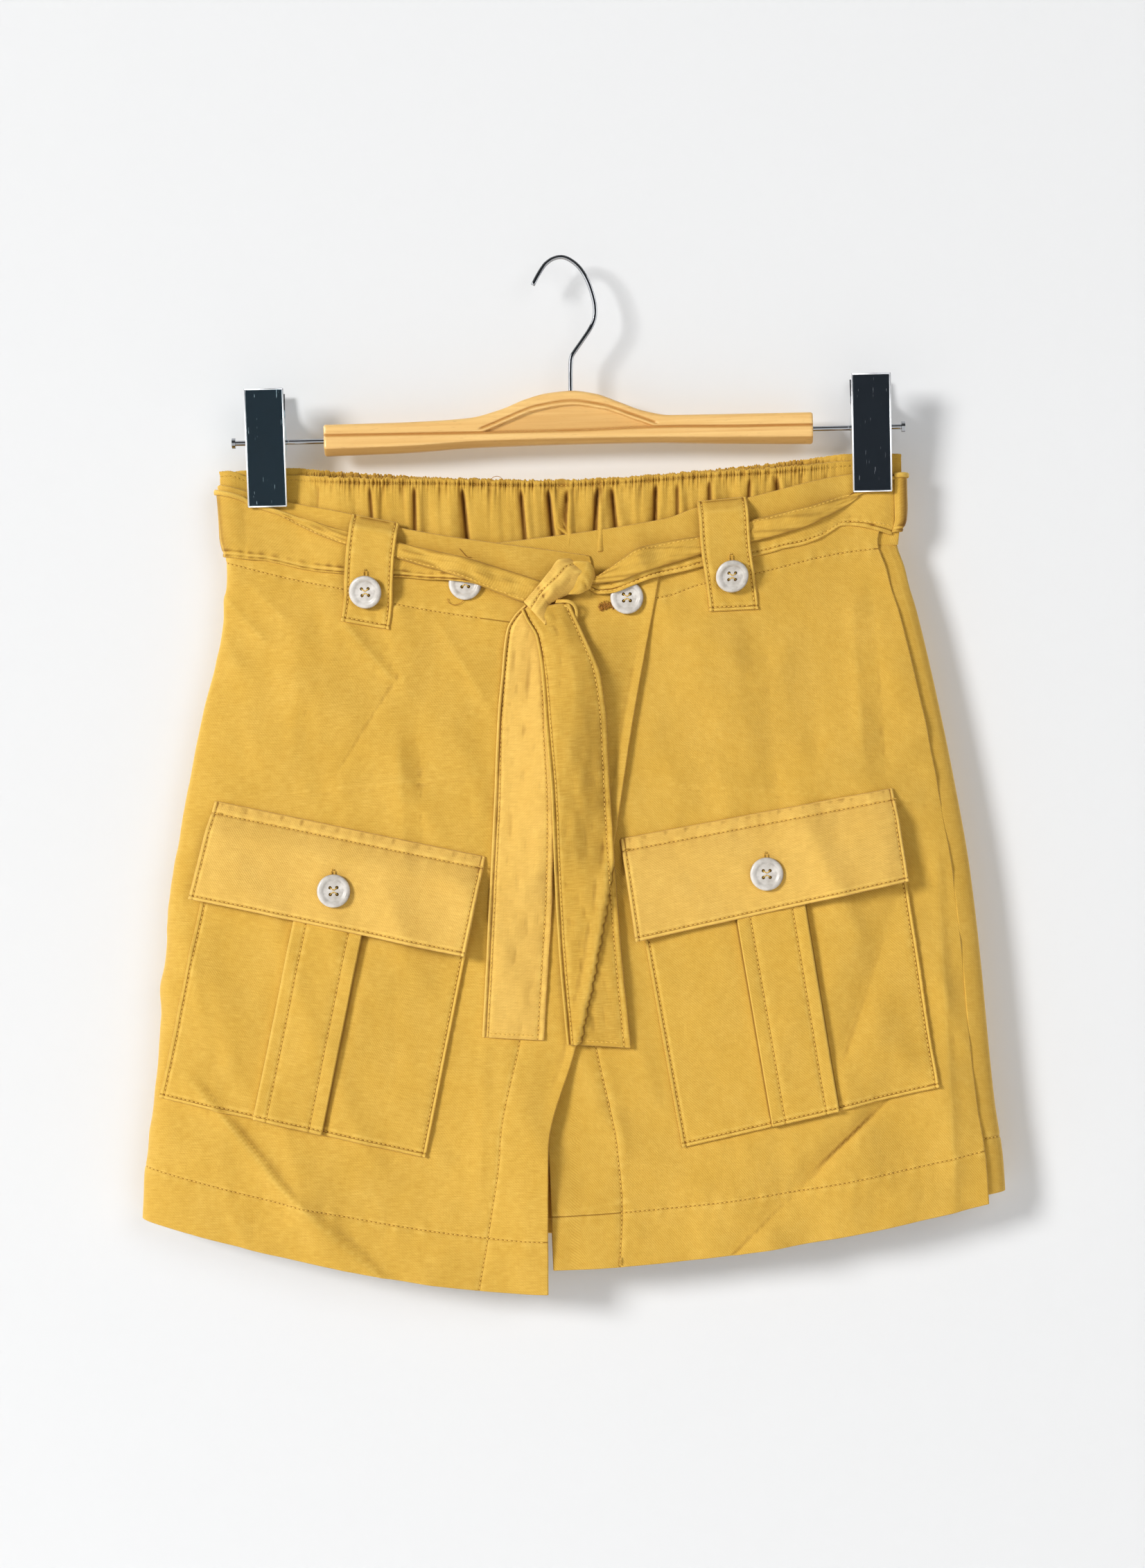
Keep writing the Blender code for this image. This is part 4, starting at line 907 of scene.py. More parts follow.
def leg_half(name, right_leg, back, hem, drop, columns):
    """One leg's front or back, from its side seam to the centre seam and the inside leg."""
    turn_steps = 14
    heights = np.concatenate([hem + np.array(EDGE_STEPS + [9, 13, 17, 21, 25, 28.4, 29.2, 30, 30.8, 31.6]),
                              np.linspace(hem + 34, BAND_BOTTOM - SEAM, 105 if back else 60)])
    shares = np.concatenate([[0, 0.002, 0.006, 0.012, 0.02], np.linspace(0.03, 1, columns)])
    rows, uvs = [], []
    for level in heights:
        middle = (SIDE_LEFT(level) + SIDE_RIGHT(level)) / 2
        parting = SEAM + LEG_PARTING * float(ease((CROTCH - level) / 130.0))
        inner = middle + (parting if right_leg else -parting)
        roll = INSEAM_ROLL if right_leg else -INSEAM_ROLL
        turn = math.radians(mix(90.0, SEAM_DIP, float(ease((level - CROTCH) / CROTCH_CURVE))))
        roll_start = inner + roll * math.sin(turn)
        side = float(right_seam(level) if right_leg else left_seam(level))
        inner_angle = float(angle_at(roll_start, level))
        if back:
            inner_angle = -inner_angle + (TURN if right_leg else 0)
        angles = np.linspace(side, inner_angle, 400)
        x, y = ring(angles, level)
        along = running(np.hypot(np.diff(x), np.diff(y)))
        angle = np.interp(SEAM + shares * (along[-1] - SEAM), along, angles)
        x = ring(angle, level)[0]
        z = np.full(x.shape, level)
        if back:
            fade = ease((level + 345) / 170.0)
            # the gathers run down the cloth's own threads
            across = BACK_WIDTH * shares + (60 if right_leg else 0)
            lift = (-1.5 * fade * (1 - np.abs(np.sin(uneven(across, 1.0) * math.pi / 10.5)) ** 0.75)
                    * ease(shares / 0.06))
            lift = lift + back_folds(x, level) * ease(shares / 0.08)
            lift = lift + seam_dip(level - hem - HEM_DEPTH, x, 2.2)
        else:
            lift = (-SLACK * (0.6 + 0.4 * ease(shares / 0.05))
                    - 2.2 * ease(shares / 0.12) * ease((-165 - level) / 30))
        points = body(angle, z, lift)
        bend = turn * np.arange(1, turn_steps + 1) / turn_steps
        xr = inner + roll * (math.sin(turn) - np.sin(bend))
        sign = 1 if back else -1
        angle = angle_at(xr, level)
        y = ring(-angle if back else angle, level)[1] - sign * (0 if back else SLACK)
        y = y + sign * back_folds(xr, level) * (1 - np.arange(1, turn_steps + 1)
                                                / turn_steps) * (1 if back else 0)
        rolled = np.stack([xr, sign * INSEAM_GAP + (y - sign * INSEAM_GAP) * np.cos(bend),
                           np.full(xr.shape, level)], axis=-1)
        row = np.concatenate([points, rolled])
        low = 1 - ease((level - hem) / 60)
        row[:, 2] -= low * drop * (1 - np.minimum(np.abs(row[:, 0]) / 245.0, 1.0) ** 2)
        rows.append(row)
        steps = running(np.linalg.norm(np.diff(row, axis=0), axis=1))
        uvs.append(np.stack([steps, row[:, 2]], axis=-1))
    points, uv = np.array(rows), np.array(uvs)
    if right_leg == (not back):
        points, uv = points[:, ::-1], uv[:, ::-1]
    return cloth(name + "_cloth", points, TWILL_BACK, uv, (name,))


def back_folds(x, z):
    """Slow upright waves down the back."""
    low = ease((-150 - z) / 80)
    return low * (0.7 * np.sin(x / 19.0 + 0.004 * z) + 0.5 * np.sin(x / 34.0 + 1.3 - z / 90.0)
                  + 0.25 * np.sin(x / 9.0 + z / 60.0))


# ---------------------------------------------------------------- pockets, flaps and tabs
Corners = namedtuple("Corners", "top_left top_right bottom_right bottom_left")
POCKET_LEFT = Corners((-204.8, -322.6), (-57.6, -355.2), (-90.6, -502.7), (-238.2, -466.1))
POCKET_RIGHT = Corners((30.5, -350.1), (179.6, -322.9), (197.8, -470.8), (53.9, -500.6))
FLAP_LEFT = Corners((-204.2, -300.5), (-52.8, -335.6), (-65.8, -390.3), (-218.1, -354.5))
FLAP_RIGHT = Corners((23.6, -327.5), (176.9, -302.9), (183.0, -354.7), (30.6, -384.7))
TAB_LEFT = Corners((-123.2, -140.7), (-97.1, -146.6), (-103.9, -206.0), (-130.3, -200.4))
TAB_RIGHT = Corners((71.2, -138.6), (98.6, -136.6), (103.9, -199.7), (76.5, -200.4))
PLEAT = (0.35, 0.61)
EDGE_STITCH = 2.0
PLEAT_STITCH = 7.5
DOUBLE_CLOTH = 1.2     # two layers pressed into one


def corner_place(corners, u, v):
    """x and height on a four-cornered patch, across from its left side and up from its bottom."""
    tl, tr, br, bl = (np.array(c, float) for c in corners)
    u, v = u[..., None], v[..., None]
    return np.moveaxis(mix(mix(bl, br, u), mix(tl, tr, u), v), -1, 0)


def patch_size(corners):
    tl, tr, br, bl = (np.array(c, float) for c in corners)
    return ((np.linalg.norm(tr - tl) + np.linalg.norm(br - bl)) / 2,
            (np.linalg.norm(tl - bl) + np.linalg.norm(tr - br)) / 2)


def spaced(length, step, lines, edge=(0.5, 1.2)):
    """Places along a length: even steps, with more about each line and at both ends."""
    even = list(np.arange(0, length, step)) + [length]
    extra = list(edge) + [length - e for e in edge]
    for line in lines:
        extra += [line - 1.5, line - 0.75, line, line + 0.75, line + 1.5]
    fixed = sorted(set(round(e, 3) for e in extra if 0 < e < length))
    kept = [e for e in even if all(abs(e - f) > 0.45 * step for f in fixed) or e in (0, length)]
    return np.array(sorted(set(kept + fixed)))


def sewn_patch(name, points, mat, u, v, stitching, columns, thickness=CLOTH, last=None):
    """A patch as a sheet, with stitches up the given columns and along its foot."""
    sheet = cloth(name + "_cloth", points, mat, np.stack([u, v], axis=-1), [name], thickness)
    at = [nearest(u[0], line) for line in columns]
    foot = nearest(v[:, 0], EDGE_STITCH)
    for column in at:
        stitching.line(sheet, column=column, first=foot, last=last)
    stitching.line(sheet, row=foot, first=at[0], last=at[1])
    return sheet


def pocket(name, corners, mat, stitching, phase):
    """A patch pocket with a box pleat down its middle."""
    width, height = patch_size(corners)
    folds_at = [PLEAT[0] * width, PLEAT[1] * width]
    edges = [folds_at[0] - 0.25, folds_at[0] + 0.25, folds_at[1] - 0.25, folds_at[1] + 0.25]
    rows_of_stitches = [EDGE_STITCH, width - EDGE_STITCH, folds_at[0] + PLEAT_STITCH,
                        folds_at[1] - PLEAT_STITCH]
    us = np.array(sorted(set(spaced(width, 2.3, rows_of_stitches).tolist() + edges)))
    vs = spaced(height, 2.5, [EDGE_STITCH])
    u, v = np.meshgrid(us, vs)
    x, z = corner_place(corners, u / width, v / height)
    inside = (u > folds_at[0]) & (u < folds_at[1])
    up = v / height
    swell = 0.8 * np.sin(math.pi * u / width) * up
    edge_puff = 0.55 * ease((u - width + 9) / 9) + 0.4 * ease((9 - v) / 9)
    lift = GAP + LOOSE + swell + edge_puff + np.where(inside, LAYER + 1.7 * up + 1.0, 0.0)
    lift = lift - 0.45 * bell(u - folds_at[1] - 2.0, 2.5) * (u > folds_at[1])
    lift = lift + 0.35 * bell(u - folds_at[1] + 1.2, 1.8) * inside
    for line, where in ((rows_of_stitches[0], u), (rows_of_stitches[1], u), (EDGE_STITCH, v)):
        lift = lift + seam_dip(where - line, v if where is u else u, phase)
    for line in rows_of_stitches[2:]:
        lift = lift + seam_dip(u - line, v, phase + 1)
    lift = lift + 0.35 * np.sin(x / 11.0 + phase) * np.sin(z / 23.0) * ease(v / 20)
    sewn_patch(name, front(x, z, lift + CLOTH), mat, u, v, stitching, rows_of_stitches)


def flap_lift(u, v):
    return GAP + LOOSE + (2 * LAYER + 2.8) * ease((1 - v) / 0.34) + 1.2 * (1 - v) * u


def tab_lift(u, v):
    over_belt = ease((v - 0.2) / 0.16) * ease((1 - v) / 0.12)
    return GAP + LOOSE + (2 * LAYER + 2 * LOOSE + 1.9) * over_belt


def flap(name, corners, mat, stitching, phase):
    width, height = patch_size(corners)
    across = [EDGE_STITCH, width - EDGE_STITCH]
    up = [EDGE_STITCH, height - 6.5]
    us, vs = spaced(width, 2.3, across), spaced(height, 2.3, up)
    u, v = np.meshgrid(us, vs)
    x, z = corner_place(corners, u / width, v / height)
    lift = flap_lift(u / width, v / height)
    lift = lift + 3.8 * ease((u / width - 0.45) / 0.55) * ease((1 - v / height - 0.1) / 0.9)
    for line in across:
        lift = lift + seam_dip(u - line, v, phase)
    lift = lift + seam_dip(v - up[0], u, phase)
    top_pucker = 0.35 * ripple(u * 1.1, phase) * bell(v - height + 2.0, 3.2)
    lift = lift + 1.6 * seam_dip(v - up[1], u, phase) + top_pucker
    lift = lift + 0.5 * np.sin(u / 21.0 + phase) * ease(1 - v / height)
    lift = lift - 0.3 * bell(np.minimum(np.minimum(u, width - u), v), 0.7)
    top = nearest(vs, up[1])
    sheet = sewn_patch(name, front(x, z, lift + CLOTH), mat, u, v, stitching, across, DOUBLE_CLOTH, top)
    stitching.line(sheet, row=top, first=2, last=-2)


def tab(name, corners, mat, stitching, phase):
    width, height = patch_size(corners)
    across = [EDGE_STITCH, width - EDGE_STITCH]
    us, vs = spaced(width, 1.8, across), spaced(height, 1.8, [EDGE_STITCH])
    u, v = np.meshgrid(us, vs)
    x, z = corner_place(corners, u / width, v / height)
    lift = tab_lift(u / width, v / height)
    for line in across:
        lift = lift + seam_dip(u - line, v, phase)
    lift = lift + seam_dip(v - EDGE_STITCH, u, phase)
    lift = lift - 0.3 * bell(np.minimum(np.minimum(u, width - u), v), 0.7)
    side_wave = 0.5 * np.sin(v / 9.0 + phase)
    sewn_patch(name, front(x + side_wave, z, lift + CLOTH), mat, u, v, stitching, across, DOUBLE_CLOTH)


# ---------------------------------------------------------------- buttons
Button = namedtuple("Button", "name x height host")
BUTTONS = [
    Button("button_tab_left", -115.9, -184.5, "tab_left"),
    Button("button_waist_left", -60.1, -181.3, "panel"),
    Button("button_waist_right", 30.6, -191.6, "panel"),
    Button("button_tab_right", 89.4, -180.8, "tab_right"),
    Button("button_flap_left", -137.6, -352.2, "flap_left"),
    Button("button_flap_right", 104.4, -348.8, "flap_right"),
]
HOSTS = {"tab_left": (TAB_LEFT, tab_lift), "tab_right": (TAB_RIGHT, tab_lift),
         "flap_left": (FLAP_LEFT, flap_lift), "flap_right": (FLAP_RIGHT, flap_lift)}
BUTTON_PROFILE = [
    (0, 1.45), (2.6, 1.45), (5.3, 1.5), (6.0, 1.75), (6.7, 2.35), (7.6, 2.7), (8.5, 2.55), (9.1, 2.1),
    (BUTTON_RADIUS, 1.5), (9.2, 0.9), (8.4, 0.4), (6.5, 0.05), (0, 0),
]
HOLE_RADIUS = 0.95
HOLE_SPACING = 1.9


def corner_share(corners, x, z):
    """Where a place lies on a patch, across and up."""
    u = v = 0.5
    for _ in range(12):
        (lx, _), (rx, _) = (corner_place(corners, np.array(a), np.array(v)) for a in (0.0, 1.0))
        u = float((x - lx) / (rx - lx))
        (_, fz), (_, hz) = (corner_place(corners, np.array(u), np.array(a)) for a in (0.0, 1.0))
        v = float((z - fz) / (hz - fz))
    return u, v


def host_point(item, right, up):
    x, z = item.x + right, item.height + up
    lift = 0.0
    if item.host in HOSTS:
        corners, lift_of = HOSTS[item.host]
        lift = float(lift_of(*corner_share(corners, x, z))) + CLOTH
    return Vector(front(np.array(x), np.array(z), lift))


def button_place(item):
    reach = 0.8 * BUTTON_RADIUS
    spot = host_point(item, 0, 0)
    facing = (host_point(item, reach, 0) - host_point(item, -reach, 0)).cross(
        host_point(item, 0, reach) - host_point(item, 0, -reach)).normalized()
    rim = [host_point(item, r * BUTTON_RADIUS * math.cos(a), r * BUTTON_RADIUS * math.sin(a))
           for a in (k * TURN / 12 for k in range(12)) for r in (0.5, 0.9)]
    seat = max(0.0, max((p - spot).dot(facing) for p in rim))
    spot += facing * (seat + GAP)
    return Matrix.Translation(spot * MM) @ facing.to_track_quat("Z", "Y").to_matrix().to_4x4()


def lathe(name, profile, steps, mat):
    """A turned solid about its own Z, from radius and height pairs listed from the top down."""
    bm = bmesh.new()
    rings = []
    for radius, height in profile:
        if radius == 0:
            rings.append([bm.verts.new((0, 0, height * MM))])
        else:
            rings.append([bm.verts.new((radius * MM * math.cos(TURN * k / steps),
                                        radius * MM * math.sin(TURN * k / steps), height * MM))
                                        for k in range(steps)])
    for upper, lower in zip(rings, rings[1:]):
        for k in range(steps):
            m = (k + 1) % steps
            if len(upper) == 1:
                bm.faces.new((upper[0], lower[k], lower[m]))
            elif len(lower) == 1:
                bm.faces.new((upper[m], upper[k], lower[0]))
            else:
                bm.faces.new((upper[k], lower[k], lower[m], upper[m]))
    mesh = bpy.data.meshes.new(name)
    bm.to_mesh(mesh)
    bm.free()
    mesh.materials.append(mat)
    obj = linked(name, mesh)
    mesh.shade_smooth()
    return obj


def apply_modifiers(obj):
    bpy.context.view_layer.update()
    mesh = bpy.data.meshes.new_from_object(obj.evaluated_get(bpy.context.evaluated_depsgraph_get()))
    obj.modifiers.clear()
    obj.data = mesh


def button(item):
    """A dished button with four holes, sewn on with two bars of thread."""
    obj = lathe(item.name + "_pearl", BUTTON_PROFILE, 56, PEARL)
    holes = [(a * HOLE_SPACING, b * HOLE_SPACING) for a in (-1, 1) for b in (-1, 1)]
    for a, b in holes:
        cutter = lathe("hole_cutter", [(0, 4), (HOLE_RADIUS, 4), (HOLE_RADIUS, -1), (0, -1)], 14, PEARL)
        cutter.location = (a * MM, b * MM, 0)
        cut = obj.modifiers.new("hole", "BOOLEAN")
        cut.operation, cut.object = "DIFFERENCE", cutter
        apply_modifiers(obj)
        bpy.data.objects.remove(cutter, do_unlink=True)
    obj.data.set_sharp_from_angle(angle=math.radians(38))
    place = button_place(item)
    obj.matrix_world = place
    finish_piece(obj, "button_shell", item.name)
    strands = [([(a, b, 0.2), (a * 0.95, b * 0.95, 1.5), (a * 0.5, b * 0.55, 1.75), (0, b * 0.3, 1.85)],
                0.26)
               for a, b in holes]
    bars(item.name + "_thread", strands, 6, THREAD, "mustard_twill", place=place)


def tube(path, radius, verts, faces, sides=6):
    """Adds a round bar along a path to lists of vertices and faces."""
    tangent = np.gradient(path, axis=0)
    tangent /= np.linalg.norm(tangent, axis=1, keepdims=True)
    hint = np.array([0.31, 0.87, 0.38])
    base = len(verts)
    for point, forward in zip(path, tangent):
        a = np.cross(forward, hint)
        a /= np.linalg.norm(a)
        b = np.cross(forward, a)
        for k in range(sides):
            turn = TURN * k / sides
            verts.append(point + radius * (a * math.cos(turn) + b * math.sin(turn)))
    faces += bar_faces(base, len(path), sides)


def bars(name, rods, sides, mat, slot, *nodes, place=None):
    """Round bars along paths, each with its radius, as one piece."""
    verts, faces = [], []
    for path, radius in rods:
        tube(np.array(path, float), radius, verts, faces, sides)
    obj = new_object(name, np.array(verts), faces, mat)
    if place is not None:
        obj.matrix_world = place
    return finish_piece(obj, slot, *nodes)


# ---------------------------------------------------------------- belt
BELT_BEND = LAYER / 2
BELT_WIDTH = 36.0
BELT_BACK_TOP = -124.0
BELT_BACK_SAG = 8.0
BUTTON_BUMP = 3.2
Band = namedtuple("Band", "x top bottom")
# the flat band, whose lower edge shows left of the knot's roll
BELT_LEFT = [Band(*row) for row in (
    (-199.5, -124.0, -160.2), (-190, -127, -161.8), (-169, -135.6, -165.9), (-150, -142.5, -170.5),
    (-127, -151, -173.8), (-101, -158, -176.1), (-65, -168, -180.2), (-40, -176, -185),
    (-20, -184, -190),
)]
BELT_LEFT_ROLL = [Band(*row) for row in (
    (-167, -136.6, -138.4), (-150, -141.6, -147.0), (-127, -149.4, -157.5), (-112, -153.8, -161.5),
    (-98, -156.9, -166.3), (-74, -163.6, -174.2), (-58, -167.8, -180.5), (-46, -171.6, -185.3),
    (-28, -177.6, -193.0), (-16, -181.6, -196.5),
)]
# the under layer at first, and the broad band from the right tab on
BELT_RIGHT = [Band(*row) for row in (
    (8, -179.5, -185.0), (14.7, -179.5, -188.8), (21, -180, -188.4), (33, -174, -185.2),
    (46.5, -168, -180.3), (72, -162, -175.1), (104, -154, -169.2), (119, -150, -166.4),
    (142.6, -143, -160.3), (154.5, -138, -153.4), (161, -135, -153.6), (178, -128, -157.2),
    (183.5, -126.0, -159.0),
)]
BELT_RIGHT_ROLL = [Band(*row) for row in (
    (6, -179.3, -183.4), (12.6, -179.4, -183.6), (19.7, -175.6, -182.9), (29.2, -169.0, -181.8),
    (38.7, -163.6, -178.6), (52.8, -161.0, -174.0), (72.6, -158.0, -168.7), (88, -153.5, -164.0),
    (103, -149.6, -161.6), (123, -145.0, -157.0), (143, -139.4, -149.0), (156, -136.2, -142.5),
    (164, -134.5, -137.0),
)]
ROLL_DEPTH = 3.6


def belt_base(x):
    """The inner face of the belt over the panels, higher where they overlap and over the buttons."""
    overlap = ease((x + 125) / 25) * ease((78 - x) / 20)
    bumps = sum(np.exp(-((x - item.x) / 15) ** 2) for item in BUTTONS if item.host == "panel")
    return LAYER + GAP + LOOSE + (LAYER + LOOSE) * overlap + BUTTON_BUMP * np.minimum(bumps, 1)


def edge_curves(table):
    """Curves through a table's tops and through its bottoms."""
    return [smooth_curve([(row.x, getattr(row, side)) for row in table]) for side in ("top", "bottom")]


def band_edges(table, wave, phase):
    """Places along a band and its two edges, a little wavy."""
    tops, bottoms = edge_curves(table)
    xs = np.arange(table[0].x, table[-1].x + 0.01, 1.3)
    top = tops(xs) + wave * rolling(xs, xs * 0 + phase, 15, 9, 2)
    bottom = bottoms(xs) + wave * rolling(xs, xs * 0 + phase, 12, 9, 8)
    return xs, top, bottom


BELT_PARTS = (0, 0.03, 0.06, 0.1, 0.14, 0.2, 0.28, 0.38, 0.48, 0.58, 0.68, 0.78, 0.88, 1.0)


def band_sheet(name, angle, top, bottom, low, phase, stitching, nodes):
    """A flat layer of the belt through columns at the given angles, turned over at its upper edge."""
    reach = running(np.hypot(*np.diff(np.array(ring(angle, -145 + 0 * angle)), axis=1)))
    low = low + CLOTH / 2
    bend = top - BELT_BEND
    heights, lifts = [], []
    for part in BELT_PARTS:
        heights.append(mix(bottom, bend, part))
        groove = seam_dip(part * (bend - bottom) - EDGE_STITCH, reach, phase)
        bulge = (1.3 * math.sin(math.pi * part)
                 * rolling(reach + 9 * part, reach * 0 + 14 * part + phase, 13, 9, 4))
        lifts.append(low + np.maximum(bulge, -0.3) + groove
                     + 0.4 * (1 - part) * rolling(reach, reach * 0, 9, 9, 6))
    for degrees in (30, 60, 90, 120, 150, 180):
        a = math.radians(degrees)
        heights.append(bend + BELT_BEND * math.sin(a))
        lifts.append(low + BELT_BEND * (1 - math.cos(a)))
    heights.append(bend - 1.5)
    lifts.append(low + LAYER)
    z, lift = np.array(heights), np.array(lifts)
    angles = np.broadcast_to(angle, z.shape)
    at_side = bell(np.mod(angles - math.pi + 1.0, TURN) - 1.0, 0.35)
    lift = lift - 1.6 * at_side * ease((-140 - z) / 18)
    on_front = np.sin(angles) > 0
    base = body(angles, z, lift + np.where(on_front, folds(ring(angles, z)[0], z), 0))
    outer = base + grid_normals(base) * (CLOTH / 2)
    widths = running(np.linalg.norm(np.diff(base, axis=0), axis=2))
    sheet = cloth(name, outer, TWILL_BELT, np.stack([np.broadcast_to(reach, z.shape), widths], axis=-1),
                  nodes)
    stitching.line(sheet, row=nearest(np.mean(widths, axis=1), EDGE_STITCH))


def belt_left_and_back(stitching):
    """The belt from the knot round the left side and across the back, to the right side."""
    start = float(angle_at(BELT_LEFT[-1].x, -175.0))
    end = float(angle_at(BELT_RIGHT[-1].x + GAP, -145.0)) - TURN
    raw = np.linspace(start, end, 3000)
    x, y = ring(raw, -145 + 0 * raw)
    along = running(np.hypot(np.diff(x), np.diff(y)))
    reach = np.concatenate([np.arange(0, 230, 1.3), np.arange(230, along[-1] - 40, 2.6),
                            np.arange(along[-1] - 40, along[-1] - 0.2, 0.9), [along[-1]]])
    angle = np.interp(reach, along, raw)[::-1]
    x = ring(angle, -145 + 0 * angle)[0]
    tops, bottoms = edge_curves(BELT_LEFT)
    back_top = BELT_BACK_TOP - BELT_BACK_SAG * (1 - (x / 200.0) ** 2)
    top = np.where(angle > 0, tops(x), back_top) + 0.4 * rolling(x, x * 0, 15, 9, 2)
    bottom = np.where(angle > 0, bottoms(x), back_top - BELT_WIDTH) + 0.5 * rolling(x, x * 0, 12, 9, 8)
    bottom = bottom + 4.0 * ease((x - 165) / 22) - 1.8 * ease((-172 - x) / 20)
    snug = 0.4 * ease((x - 176) / 8) + 0.5 * ease((-186 - x) / 8)
    low = np.where(angle > 0, belt_base(x), LAYER + GAP + LOOSE) - snug + LOOSE * ease((-angle) / 0.2)
    band_sheet("belt_left_cloth", angle[::-1], top[::-1], bottom[::-1], low[::-1], 0.5, stitching,
               ("belt_left", "belt_back"))


def belt_right(stitching):
    xs, top, bottom = band_edges(BELT_RIGHT, 0.5, 2.0)
    low = belt_base(xs) - ease((xs - 177) / 6)
    band_sheet("belt_right_cloth", angle_at(xs, (top + bottom) / 2), top, bottom, low, 2.0, stitching,
               ("belt_right",))


def closed_loops(name, points, mat, uv):
    """A closed form through loops of points, with its two ends filled."""
    loops, around = points.shape[:2]
    faces = []
    for i in range(loops - 1):
        for k in range(around):
            m = (k + 1) % around
            faces.append((i * around + k, i * around + m, (i + 1) * around + m, (i + 1) * around + k))
    faces.append(tuple(range(around))[::-1])
    faces.append(tuple((loops - 1) * around + k for k in range(around)))
    obj = new_object(name, points.reshape(-1, 3), faces, mat)
    bm = bmesh.new()
    bm.from_mesh(obj.data)
    bmesh.ops.recalc_face_normals(bm, faces=bm.faces)
    bm.to_mesh(obj.data)
    bm.free()
    put_uv(obj, uv.reshape(-1, 2))
    # painted shade in the form's valleys and a paler tone, painted highlight, on its ridges
    bent = bending(points, grid_normals(points))
    put_folds(obj, np.clip(-bent * FOLD_GAIN, -1, 1) * 0.5)
    return obj


def belt_roll(name, table, stitching, phase, stitch_top):
    """The belt folded over itself into a flat roll that lies on its under layer."""
    xs, top, bottom = band_edges(table, 0.4, phase)
    turns = np.arange(40) * TURN / 40
    middle, half = (top + bottom) / 2, (top - bottom) / 2
    deep = np.minimum(ROLL_DEPTH, 1.3 * half + 0.6) * (1 - 0.8 * pinch(xs, middle))
    under_tab = bell(np.minimum(np.abs(xs + 111.5), np.abs(xs - 87.5)), 17)
    deep = deep * (1 - 0.45 * under_tab)
    under = belt_base(xs) + CLOTH + 0.25
    rise = signed_power(np.cos(turns), 0.75)[None, :]
    face = signed_power(np.sin(turns), 0.7)[None, :]
    z = middle[:, None] + half[:, None] * rise
    x = np.broadcast_to(xs[:, None], z.shape)
    crease = (0.9 * rolling(x + 30 * rise, z * 2.2 + phase, 17, 9, 9)
              + 0.5 * rolling(x, rise * 9 + phase, 8, 7, 12))
    lift = under[:, None] + deep[:, None] / 2 * (1 + face) + np.maximum(face, 0) * crease
    points = body(angle_at(x, z), z, lift + folds(x, z))
    uv = np.stack([x, np.broadcast_to(turns[None, :] * 4.5, x.shape)], axis=-1)
    obj = finish_piece(closed_loops(name + "_roll", points, TWILL_BELT, uv), "mustard_twill")
    normal = np.zeros_like(points)
    normal[..., 1] = -1
    column = 5 if stitch_top else 15
    stitching.row(points[3:-3, column], normal[3:-3, column])
    return obj


# the two edges of a strip: x, height and lift over the panels; then how far its middle stands out
Cross = namedtuple("Cross", "x0 z0 lift0 x1 z1 lift1 bulge")
TAIL_LEFT = [Cross(*row) for row in (
    (-27.5, -195.5, 5.5, -14, -196, 5.5, 1.0), (-33.0, -200.5, 4.0, -15, -202, 4.5, 0.8),
    (-37.5, -208, 2.4, -16.5, -212, 3.0, 0.5), (-41.3, -235, 1.6, -16, -236, 1.8, 0.3),
    (-44.3, -262, 1.4, -15.5, -263, 1.6, 0.6), (-47.1, -306, 1.3, -14, -307, 1.6, 0.4),
    (-50.0, -344, 1.2, -15.1, -346, 1.7, 0.8), (-54, -398, 1.2, -19.5, -401, 1.8, 0.5),
    (-57.0, -436, 1.3, -22.6, -438.5, 1.9, 0.4),
)]
TAIL_RIGHT = [Cross(*row) for row in (
    (-29, -197.5, 6.6, -2, -194, 6.0, 1.6), (-26.5, -203, 6.4, 0.5, -200, 5.6, 1.8),
    (-21.3, -213, 5.6, 4.8, -210, 4.8, 1.6), (-18.6, -236, 4.6, 14.5, -236, 4.6, 1.0),
    (-17.2, -262, 4.2, 17.2, -262, 4.6, 0.8), (-14.7, -306, 4.0, 18.0, -306, 4.4, 0.5),
    (-14.2, -344, 3.9, 19.6, -345, 4.2, 0.9), (-13.0, -386, 3.9, 21.8, -388, 4.2, 0.4),
    (-9.7, -441, 3.8, 25.8, -444, 4.4, 0.5),
)]
# over the front of the knot, from behind its top to behind its foot
KNOT_WRAP = [Cross(*row) for row in (
    (2.0, -171.5, 3.5, 12.6, -178.6, 4.0, 0), (-1.5, -169.2, 7.2, 12.8, -179.4, 6.0, 1.4),
    (-7.0, -169.6, 9.8, 8.8, -182.4, 6.6, 3.8), (-12.0, -175.4, 10.6, 1.6, -187.4, 5.8, 5.0),
    (-17.0, -181.4, 10.2, -7.5, -191.8, 6.2, 4.6), (-20.2, -185.2, 8.6, -13.6, -195.6, 7.2, 1.5),
    (-24.4, -189.8, 8.2, -14.6, -201.5, 7.8, 1.4), (-27.4, -193.2, 7.4, -16.0, -206.0, 7.4, 0.6),
    (-26.2, -193.0, 5.4, -16.4, -205.0, 5.4, 0),
)]
